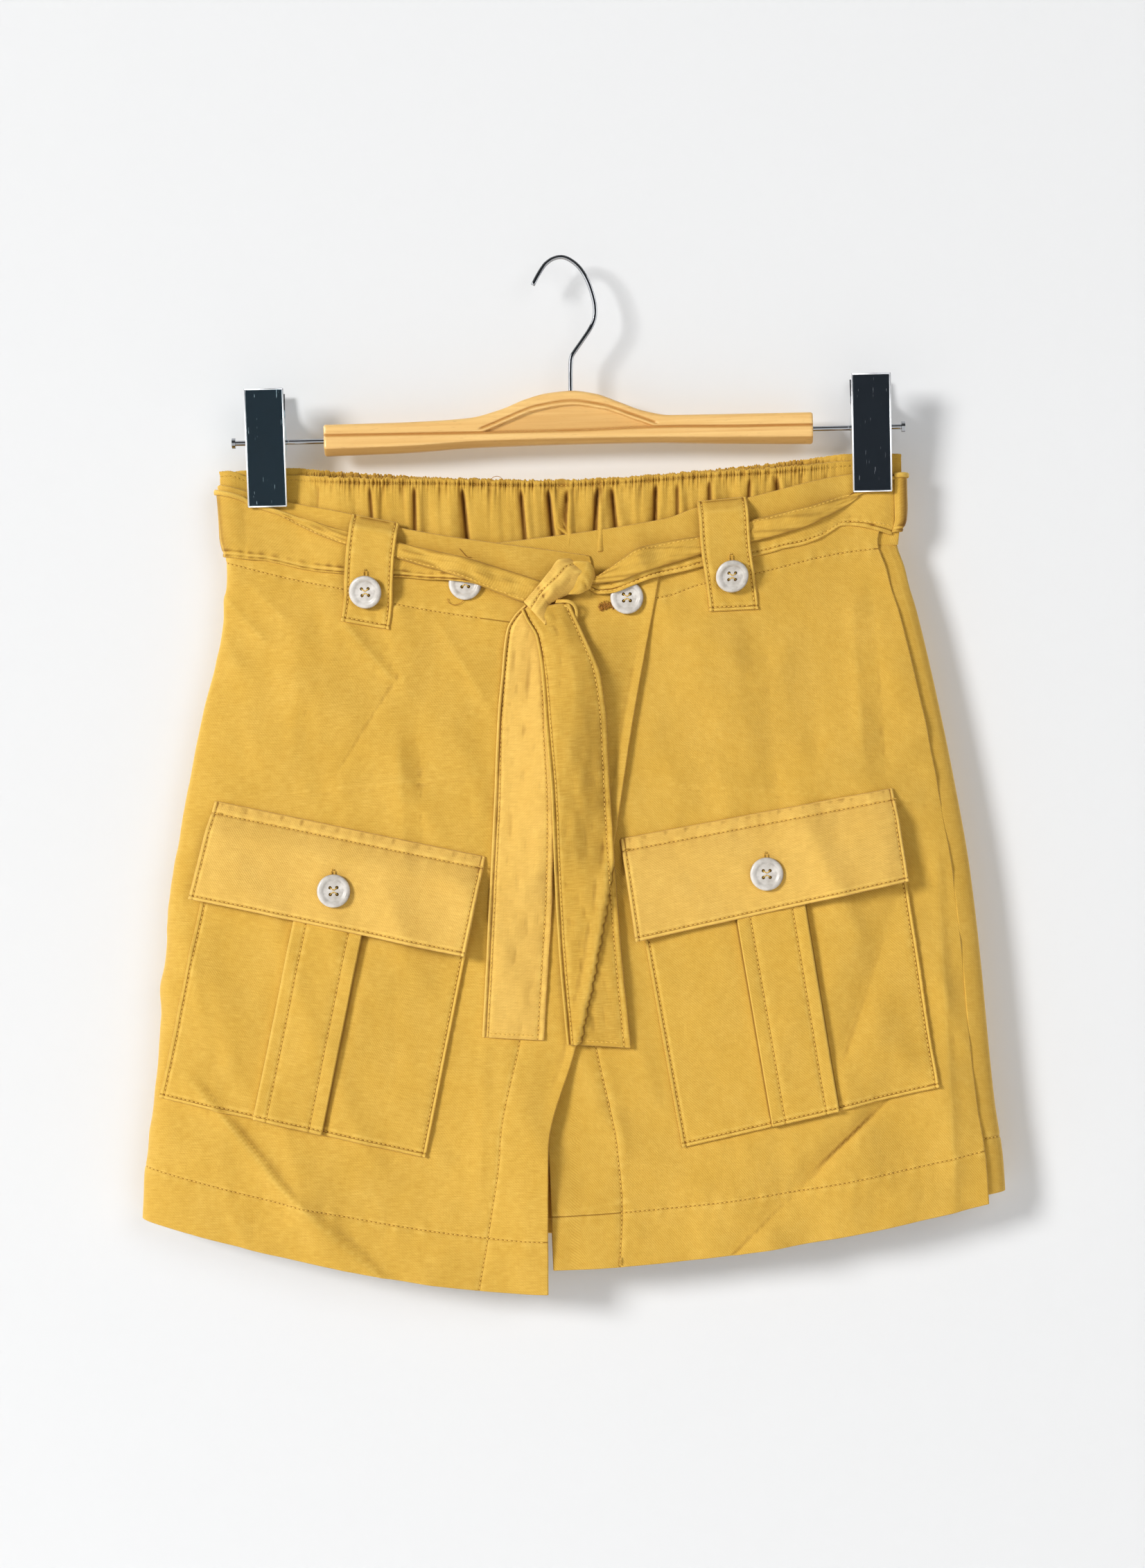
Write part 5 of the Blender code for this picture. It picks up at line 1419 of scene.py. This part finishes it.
# the belt's right end, which turns over beside the wrap
KNOT_LOBE = [Cross(*row) for row in (
    (-4, -173, 5.0, -6, -187, 5.0, 1), (2.5, -170.8, 8.5, -1.5, -189.5, 6.2, 2.4),
    (8.6, -171.2, 9.0, 3.0, -189.5, 6.5, 3.0), (12.2, -174.8, 7.6, 7.2, -187.8, 6.2, 2.6),
    (13.0, -179.0, 5.4, 10.2, -186.0, 5.0, 1.0), (10.0, -180.5, 4.0, 8.0, -184.5, 4.0, 0),
)]
KNOT_LOOPS = [    # narrow edges of cloth that show below the knot on the right
    [Cross(-9, -192.0, 7.0, -9.5, -193.8, 7.4, 0), Cross(-3.0, -192.2, 7.4, -3.4, -194.0, 7.8, 0.3),
     Cross(1.6, -195.0, 6.4, 0.2, -196.2, 6.8, 0.3), Cross(2.8, -199.4, 5.0, 1.2, -199.6, 5.2, 0.3),
     Cross(2.2, -204.0, 3.4, 0.8, -204.0, 3.4, 0)],
    [Cross(-10, -194.6, 6.0, -10.4, -196.2, 6.2, 0), Cross(-4.6, -194.8, 6.2, -5.0, -196.2, 6.4, 0.3),
     Cross(-0.8, -197.0, 5.6, -2.0, -198.0, 5.8, 0.3), Cross(0.2, -201.4, 4.6, -1.2, -201.6, 4.8, 0.3),
     Cross(0.0, -206.0, 3.6, -1.4, -206.0, 3.6, 0)],
]


def strip(crosses, along, across):
    """Points on a strip of cloth guided by its crosswise lines, and distances on it."""
    rows = np.array(crosses, float)
    middle = (rows[:, 0:3] + rows[:, 3:6]) / 2
    places = running(np.linalg.norm(np.diff(middle, axis=0), axis=1))
    where = np.linspace(0, places[-1], along)
    read = [smooth_curve(list(zip(places, rows[:, i])))(where)[:, None] for i in range(7)]
    u = np.asarray(across)[None, :]
    x, z, lift = (mix(read[i], read[i + 3], u) for i in range(3))
    lift = lift + read[6] * np.sin(math.pi * u) ** 0.8
    width = np.hypot(read[3] - read[0], read[4] - read[1])
    return x, z, lift, where[:, None] + 0 * u, width * u


def strip_cloth(name, crosses, along, mat, node=None, thickness=DOUBLE_CLOTH, creases=0.0,
                phase=0.0, stitching=None, stitch_at=(), rolled_edge=0.0):
    """A strip as a closed sheet, with soft creases and stitches at shares of its width."""
    near_edges = [0.01, 0.022, 0.06, 0.98]
    across = np.array(sorted(set(np.linspace(0, 1, 25).tolist() + near_edges + list(stitch_at))))
    x, z, lift, s, w = strip(crosses, along, across)
    lift = (lift + creases * rolling(w + phase * 3, s, 5.5, 14, 21)
            + 0.6 * creases * rolling(w, s + phase, 3.1, 8, 33))
    for at in stitch_at:
        lift = lift + seam_dip(w - at * w[:, -1:], s, phase)
    lift = lift + rolled_edge * (0.6 * bell(w - 0.7, 0.75) - 0.5 * bell(w - 1.9, 0.55))
    points = front(x, z, lift)
    # rows have to run up the piece and columns to its right for its outer face to show
    if crosses[0].z0 > crosses[-1].z0 and crosses[0].x0 < crosses[0].x1:
        points, s, w = points[::-1], s[::-1], w[::-1]
    sheet = cloth(name, points, mat, np.stack([w, s], axis=-1), [node] if node else [], thickness)
    for at in stitch_at:
        stitching.line(sheet, column=nearest(across, at))
    return sheet, across


def tail(name, crosses, mat, stitching, phase):
    """A free end of the belt, hanging from the knot over the panels."""
    length = sum(math.hypot(b.x0 - a.x0, b.z0 - a.z0) for a, b in zip(crosses, crosses[1:]))
    edge = (EDGE_STITCH + 1.0) / 32.0
    sheet, across = strip_cloth(name + "_cloth", crosses, int(length / 2.0), mat, name, creases=0.45,
                                phase=phase, stitching=stitching, stitch_at=(edge, 1 - edge),
                                rolled_edge=1.0)
    stitching.line(sheet, row=1, first=nearest(across, edge), last=nearest(across, 1 - edge))
    return sheet


def knot(stitching):
    """The belt's half knot: its wrap, the lobe beside it and the loops below."""
    strip_cloth("knot_wrap", KNOT_WRAP, 56, TWILL_PAINTED_LIGHT, "belt_knot", creases=0.75, phase=1.0,
                stitching=stitching, stitch_at=(0.3,))
    strip_cloth("knot_lobe", KNOT_LOBE, 34, TWILL_BELT, creases=0.4, phase=2.0)
    for i, loop in enumerate(KNOT_LOOPS):
        strip_cloth("knot_loop_" + "ab"[i], loop, 24, TWILL_BELT, thickness=0.8)


# ---------------------------------------------------------------- hanger
# the wire's centre line, from its tip to inside the bar
HOOK_PATH = [
    (-18.1, -12.6), (-16.3, -9.2), (-14.3, -5.8), (-12.2, -2.7), (-10.2, -0.4), (-6.3, 2.1),
    (-1.4, 3.0), (3.5, 1.2), (8.7, -3.4), (12.9, -10.5), (15.6, -18.8), (16.8, -25.7), (16.3, -32.5),
    (13.6, -38.3), (8.9, -45.0), (4.7, -50.7), (2.9, -53.6), (2.3, -56.7), (2.0, -63.3), (1.8, -74.0),
    (1.8, -84.0),
]
HOOK_WIRE = 1.25
BAR_END = 138.3
BAR_DEEP = 5.5
BAR_TOP_LINE = [
    (-140, -89), (-103.7, -88.9), (-77.1, -88.4), (-55.8, -87.2), (-38.0, -82.9), (-23.6, -77.4),
    (-11.1, -74.3), (2.2, -73.3), (15.4, -75.2), (29.5, -80.5), (43.5, -85.8), (57.7, -88.4),
    (140, -88.9),
]
BAR_GROOVE_LINE = [
    (-140, -95.2), (-95.0, -95.5), (-51.6, -95.8), (0.7, -95.9), (51.3, -95.0), (100.0, -95.8),
    (140, -96.1),
]
BAR_RIM_LINE = [
    (-51.6, -95.8), (-43, -92.6), (-34.6, -89.2), (-16.7, -82.9), (2.0, -80.6), (20.6, -83.5),
    (36.4, -89.2), (44, -92.0), (51.3, -95.0),
]
BAR_CHAMFER_LINE = [
    (-140, -102.7), (-95.2, -102.2), (-49.0, -100.3), (2.4, -100.0), (46.7, -100.5), (73.3, -101.2),
    (140, -102.6),
]
BAR_FOOT_LINE = [
    (-140, -106.3), (-95.3, -105.6), (-49.1, -103.5), (2.3, -103.0), (46.7, -103.3), (82.1, -104.6),
    (140, -106.3),
]


def flowing(points, step):
    """A path through points with even bends, read at even steps."""
    points = np.array(points, float)
    padded = np.concatenate([[2 * points[0] - points[1]], points, [2 * points[-1] - points[-2]]])
    found = []
    for a, b, c, d in zip(padded, padded[1:], padded[2:], padded[3:]):
        for t in np.arange(0, 1, step / max(np.linalg.norm(c - b), step)):
            found.append(0.5 * (2 * b + (c - a) * t + (2 * a - 5 * b + 4 * c - d) * t * t
                                + (3 * b - a - 3 * c + d) * t ** 3))
    return np.array(found + [points[-1]])


def hook_wire():
    path = flowing(HOOK_PATH, 1.2)
    path = np.stack([path[:, 0], 0 * path[:, 0], path[:, 1]], axis=1)
    bars("hook_wire", [(path, HOOK_WIRE)], 14, CHROME, "chrome", "hook")


def wooden_bar():
    """The bar with its routed line, the recess under its hump and its slanting lower edge."""
    top_of, groove_of, rim_of, chamfer_of, foot_of = (
        smooth_curve(line) for line in (BAR_TOP_LINE, BAR_GROOVE_LINE, BAR_RIM_LINE, BAR_CHAMFER_LINE,
                                        BAR_FOOT_LINE))
    ends = np.array([0, 0.25, 0.6, 1.1])
    xs = np.concatenate([-BAR_END + ends, np.arange(-BAR_END + 2, BAR_END - 1.9, 1.0),
                         (BAR_END - ends)[::-1]])
    share = np.linspace(1, 0, 72)
    top, groove, rim, chamfer, foot = (read(xs)[:, None]
                                       for read in (top_of, groove_of, rim_of, chamfer_of, foot_of))
    z = foot + (top - foot) * share
    x = np.broadcast_to(xs[:, None], z.shape)
    within = ease((x + 51.6) / 3) * ease((51.3 - x) / 3)
    y = -BAR_DEEP + 0 * z
    y = y + 1.25 * bell(z - groove, 0.6) - 0.25 * bell(z - groove + 1.5, 0.8)
    y = y + within * (1.1 * bell(z - rim - 1.6, 0.6) - 0.3 * bell(z - rim - 0.2, 0.7))
    y = y + 2.2 * within * ease((z - groove - 0.3) / 0.6) * ease((rim - z - 0.6) / 0.6)
    y = y + 1.7 * np.maximum(chamfer - z, 0) + 0.25 * bell(z - chamfer, 0.5)
    y = y + 2.0 * (1 - np.sqrt(np.clip(1 - (1 - np.clip((top - z) / 2.2, 0, 1)) ** 2, 0, 1)))
    back = np.linspace(0, 1, 6)[1:-1]
    rounding = 0.8
    corner_z = [top + 0 * rounding, top - 0.3 * rounding, top - rounding, foot + rounding,
                foot + 0.3 * rounding, foot]
    corner_y = [BAR_DEEP - rounding, BAR_DEEP - 0.3 * rounding, BAR_DEEP, BAR_DEEP,
                BAR_DEEP - 0.3 * rounding, BAR_DEEP - rounding]
    under_y = y[:, -1:]
    loop_y = np.concatenate([y] + [under_y + (BAR_DEEP - rounding - under_y) * b for b in back]
                            + [0 * top + v for v in corner_y[::-1]]
                            + [BAR_DEEP - rounding + (y[:, :1] - BAR_DEEP + rounding) * b for b in back],
                            axis=1)
    loop_z = np.concatenate([z] + [foot] * len(back) + corner_z[::-1] + [top] * len(back), axis=1)
    inset = np.maximum(1 - (BAR_END - np.abs(xs)) / 1.1, 0) ** 2
    mid_z = (top + foot) / 2
    loop_z = mid_z + (loop_z - mid_z) * (1 - 0.09 * inset[:, None])
    loop_y = loop_y * (1 - 0.16 * inset[:, None])
    points = np.stack([np.broadcast_to(xs[:, None], loop_y.shape), loop_y, loop_z], axis=-1)
    obj = closed_loops("wooden_bar", points, BEECH, np.stack([points[..., 0], points[..., 2]], axis=-1))
    obj.data.set_sharp_from_angle(angle=math.radians(50))
    recess = within * ease((z - groove - 0.3) / 0.6) * ease((rim - z - 0.6) / 0.6)
    # painted shade for the routed groove, under the rim, in the recess and on the slanting lower edge
    painted_shade = (0.8 * bell(z - groove, 0.7) + 0.7 * within * bell(z - rim - 1.6, 0.7) + 0.3 * recess
             + 0.34 * ease((chamfer - z) / 0.5))
    painted_shade = np.concatenate([painted_shade, 0 * loop_z[:, painted_shade.shape[1]:]], axis=1)
    put_folds(obj, np.clip(painted_shade, 0, 1))
    finish_piece(obj, "beech", "hanger_bar")


def rounded_copy(node, mat):
    """A steel part with its edges eased, so that they catch the light."""
    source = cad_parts[node]
    obj = linked(node + "_plate", source.data.copy())
    obj.matrix_world = source.matrix_world.copy()
    obj.data.materials.clear()
    obj.data.materials.append(mat)
    bevel = obj.modifiers.new("eased", "BEVEL")
    bevel.width, bevel.segments = 0.9 * MM, 2
    bevel.limit_method, bevel.angle_limit = "ANGLE", math.radians(40)
    apply_modifiers(obj)
    obj.data.shade_smooth()
    obj.data.set_sharp_from_angle(angle=math.radians(30))
    finish_piece(obj, "chrome", node)


def clip_edges(node):
    """The bright turned edge round a clip's front plate."""
    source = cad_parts[node]
    spots = np.array([source.matrix_world @ v.co for v in source.data.vertices]) / MM
    (x0, _, z0), (x1, _, z1) = spots.min(axis=0), spots.max(axis=0)
    low, high = (spots[np.abs(spots[:, 2] - z) < 2, 1].min() for z in (z0, z1))
    corners = [(x0 + 0.3, low, z0 + 0.3), (x1 - 0.3, low, z0 + 0.3), (x1 - 0.3, high, z1 - 0.3),
               (x0 + 0.3, high, z1 - 0.3)]
    rods = [(pair, 0.5) for pair in zip(corners, corners[1:] + corners[:1])]
    bars(node + "_edge", rods, 8, EDGE_STEEL, "chrome")


# ---------------------------------------------------------------- buttonholes, tacks and loose threads
def over_front(path, lift):
    """Points over the panels along x and height pairs, and the way out from the cloth."""
    x, z = flowing(path, 0.6).T
    points = front(x, z, lift + 0 * x)
    return points, front(x, z, lift + 1 + 0 * x) - points


def tack(stitching, path, lift):
    points, normals = over_front(path, lift)
    stitching.row(points, normals, pitch=0.75, length=0.62, radius=0.42, lift=0.15)


def loose_threads():
    """Stray ends of sewing thread, and the frayed buttonhole by the right waist button; the threads' dark
    brown also paints the shade in the torn hole.
    """
    rods = []
    for lift, path in ((1.1, [(-70.4, -189.5), (-69.5, -191.9), (-66.8, -193.2), (-63.0, -192.3),
                              (-60.4, -189.6)]),
                       (0.6, [(-62.9, -161.6), (-61.0, -163.9), (-58.8, -166.3), (-56.4, -166.6)]),
                       (-2.5, [(-45.0, -123.4), (-42.6, -121.3), (-39.8, -121.2), (-37.6, -122.9)])):
        rods.append((over_front(path, lift)[0], 0.16))
    dice = np.random.RandomState(5)
    for _ in range(80):
        t = dice.uniform(0, 1)
        x, z = mix(15.5, 26.5, t) + dice.normal(0, 0.9), mix(-197.0, -193.6, t) + dice.normal(0, 1.0)
        turn = dice.uniform(0, TURN)
        reach = dice.uniform(0.7, 1.7)
        places = np.linspace(-1, 1, 5)
        path_x = x + reach * np.cos(turn) * places
        path_z = z + reach * np.sin(turn) * places + dice.uniform(-0.6, 0.6) * places ** 2
        rods.append((front(path_x, path_z, dice.uniform(0.1, 0.7) + 0.5 * (1 - places ** 2)), 0.2))
    bars("loose_threads", rods, 5, FRAYED_AND_HOLE_SHADE, "mustard_twill")


def buttonholes(stitching):
    """The top of each upright buttonhole, which shows above the button."""
    for item in BUTTONS:
        if item.host == "panel":
            continue
        corners, lift_of = HOSTS[item.host]
        top = BUTTON_RADIUS + 2.6
        across, up = corner_share(corners, item.x, item.height + top)
        lift = float(lift_of(across, up)) + CLOTH + 0.25
        for side in (-1.0, 1.0):
            tack(stitching, [(item.x + side, item.height + 4), (item.x + side, item.height + top)], lift)
        tack(stitching, [(item.x - 1.4, item.height + top), (item.x + 1.4, item.height + top)], lift + 0.2)


# ---------------------------------------------------------------- stage, light and camera
FRAME_SIZE = 0.8826         # height that the frame covers at the cloth
LENS = 73.0
SENSOR = 36.0
VIEW_CENTRE = Vector((-0.00274, -0.012, -0.2957))
TILT = math.radians(1.459)
WALL_Y = 0.019
WALL_GLOW = 0.09            # the backdrop has lights of its own
FLOOR_Z = -0.95
CARD_Y = -3.4               # the dark card stands behind the camera
CARD_GLOW = 0.95
LIGHT_AIM = (0, 0, -0.33)
WHITE = (1.0, 1.0, 1.0, 1)


def plain(name, colour, roughness=0.9, glow=0.0):
    """Matt paint with a slow change of tone."""
    n = Nodes(name)
    soft = n.noise(n.place(), 1.2)
    paler = tuple(min(1.0, c * 1.02) for c in colour[:3]) + (1,)
    n.feed(Base_Color=n.blend(soft, colour, paler))
    settle(n.shader, Roughness=roughness)
    if glow:
        settle(n.shader, Emission_Color=WHITE, Emission_Strength=glow)
    return n


def one_way_wall():
    """Backdrop paint that shows from the front, and lets light and views through from behind."""
    n = plain("wall_paint", (0.618, 0.624, 0.632, 1), glow=WALL_GLOW)
    side, path = n.add("ShaderNodeNewGeometry"), n.add("ShaderNodeLightPath")
    mixed = n.add("ShaderNodeMixShader")
    n.link(n.math("MAXIMUM", side.outputs["Backfacing"], path.outputs["Is Shadow Ray"]), mixed.inputs[0])
    n.link(n.shader.outputs[0], mixed.inputs[1])
    n.link(n.add("ShaderNodeBsdfTransparent").outputs[0], mixed.inputs[2])
    n.link(mixed.outputs[0], n.tree.nodes["Material Output"].inputs["Surface"])
    return n.mat


def plane(name, corners, mat, reflected_only=False):
    obj = new_object(name, np.array(corners, float) * 1000, [(0, 1, 2, 3)], mat)
    if reflected_only:
        obj.visible_camera = obj.visible_diffuse = obj.visible_shadow = False
        obj.visible_transmission = obj.visible_volume_scatter = False


def area_light(name, place, size, power, colour=(1, 1, 1)):
    data = bpy.data.lights.new(name, "AREA")
    data.shape, data.size, data.energy, data.color = "DISK", size, power, colour
    obj = linked(name, data)
    obj.location = place
    obj.rotation_euler = (Vector(LIGHT_AIM) - Vector(place)).to_track_quat("-Z", "Y").to_euler()
    return obj


def stage():
    """The wall and floor, cards that only gloss sees, the world, the look and the lights."""
    plane("wall", [(-3, WALL_Y, FLOOR_Z), (3, WALL_Y, FLOOR_Z), (3, WALL_Y, 2.5), (-3, WALL_Y, 2.5)],
          one_way_wall())
    floor = plain("floor_paint", (0.86, 0.86, 0.86, 1)).mat
    plane("floor", [(-4, -4, FLOOR_Z), (4, -4, FLOOR_Z), (4, 4, FLOOR_Z), (-4, 4, FLOOR_Z)], floor)
    dark = plain("card_paint", (0.034, 0.042, 0.052, 1), 1.0).mat
    plane("dark_card", [(2.3, CARD_Y, -1.5), (-1.1, CARD_Y, -1.5), (-1.1, CARD_Y, 1.1), (2.3, CARD_Y, 1.1)],
          dark, True)
    plane("dark_flank", [(2.25, CARD_Y, -1.5), (2.25, -1.2, -1.5), (2.25, -1.2, 1.8), (2.25, CARD_Y, 1.8)],
          dark, True)
    for name, x in (("white_card_left", -2.3), ("white_card_right", 2.3)):
        white = plain(name + "_paint", (0.9, 0.9, 0.9, 1), glow=CARD_GLOW).mat
        plane(name, [(x, -3.2, -1.2), (x, 1.2, -1.2), (x, 1.2, 1.6), (x, -3.2, 1.6)], white, True)
    world = bpy.data.worlds.new("studio")
    world.use_nodes = True
    background = world.node_tree.nodes["Background"]
    settle(background, Color=WHITE, Strength=0.13)
    scene = bpy.context.scene
    scene.world = world
    scene.view_settings.view_transform = "Standard"
    scene.view_settings.look = "Medium High Contrast"
    scene.view_settings.exposure = -0.2
    area_light("key", (-5.5, -5.2, 1.75), 2.2, 545.0, (1.0, 0.995, 0.985))
    area_light("fill", (1.2, -2.6, 0.5), 1.8, 21.0).visible_glossy = False
    area_light("back_left", (-1.4, 2.0, 0.7), 1.2, 40.0)
    area_light("back_right", (1.7, 1.7, 0.2), 1.6, 22.0)


def camera():
    data = bpy.data.cameras.new("camera")
    data.lens, data.sensor_width, data.sensor_fit = LENS, SENSOR, "AUTO"
    data.clip_start, data.clip_end = 0.05, 30
    distance = LENS / SENSOR * FRAME_SIZE
    right = Vector((math.cos(TILT), 0, -math.sin(TILT)))
    up = Vector((math.sin(TILT), 0, math.cos(TILT)))
    back = Vector((0, -1, 0))
    turn = Matrix((right, up, back)).transposed()
    obj = linked("camera", data)
    obj.matrix_world = Matrix.Translation(VIEW_CENTRE + back * distance) @ turn.to_4x4()
    bpy.context.scene.camera = obj


# ---------------------------------------------------------------- a record for the cut of a sheet
Cut = namedtuple("Cut", "width length area held rests_on goes_with")   # millimetres


# ---------------------------------------------------------------- the whole
def dress():
    panels = Stitching("panel_stitching")
    wrap_panels(panels)
    waist = Stitching("waist_stitching")
    behind = [(-place, depth) for place, depth in DEEP_FOLDS]
    for sheet in (waistband("waistband_front", FRONT_SPAN, FRONT_SAG, DEEP_FOLDS),
                  waistband("waistband_back", BACK_SPAN, 0.0, behind)):
        waist.line(sheet, row=14)
    waist.make(WAIST_THREAD)
    leg_half("front_left", False, False, -528.0, 12.0, 60)
    leg_half("front_right", True, False, -524.0, 12.0, 60)
    for sheet in (leg_half("back_left", False, True, -533.0, 18.0, 100),
                  leg_half("back_right", True, True, -530.0, 18.0, 100)):
        panels.line(sheet, row=13)
    panels.make(THREAD)
    patches = Stitching("pocket_stitching")
    pocket("pocket_left", POCKET_LEFT, TWILL_LEFT, patches, 0.3)
    pocket("pocket_right", POCKET_RIGHT, TWILL_RIGHT, patches, 1.9)
    flap("flap_left", FLAP_LEFT, TWILL_PAINTED_LIGHT, patches, 0.7)
    flap("flap_right", FLAP_RIGHT, TWILL_PAINTED_LIGHT, patches, 2.4)
    tab("tab_left", TAB_LEFT, TWILL_LEFT, patches, 0.2)
    tab("tab_right", TAB_RIGHT, TWILL_RIGHT, patches, 1.1)
    buttonholes(patches)
    for x, z, lift in ((-201, -307.4, 2.4), (-55, -340.6, 4.2), (27, -333.0, 2.4), (177, -308.5, 4.2)):
        tack(patches, [(x - 2, z), (x + 2, z)], lift)
    tack(patches, [(17.4, -561), (17.0, -567)], LAYER)
    patches.make(THREAD)
    loose_threads()
    for item in BUTTONS:
        button(item)
    belts = Stitching("belt_stitching")
    belt_left_and_back(belts)
    belt_right(belts)
    belt_roll("belt_left", BELT_LEFT_ROLL, belts, 0.7, False)
    belt_roll("belt_right", BELT_RIGHT_ROLL, belts, 3.1, True)
    tail("belt_tail_left", TAIL_LEFT, TWILL_PAINTED_LIGHT, belts, 0.4)
    tail("belt_tail_right", TAIL_RIGHT, TWILL_CROSS, belts, 1.5)
    knot(belts)
    belts.make(THREAD)
    hook_wire()
    wooden_bar()
    rounded_copy("clip_front_left", CLIP_BLUE)
    rounded_copy("clip_front_right", CLIP_GREY)
    clip_edges("clip_front_left")
    clip_edges("clip_front_right")


def carried_over():
    """Finishes for the hanger's solids, some of which stay in view."""
    for name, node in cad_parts.items():
        if name.startswith(("hook", "rod", "clip", "hanger_bar")):
            node.data.materials.clear()
            node.data.materials.append(BEECH if name == "hanger_bar" else CHROME)


dress()
carried_over()
stage()
camera()
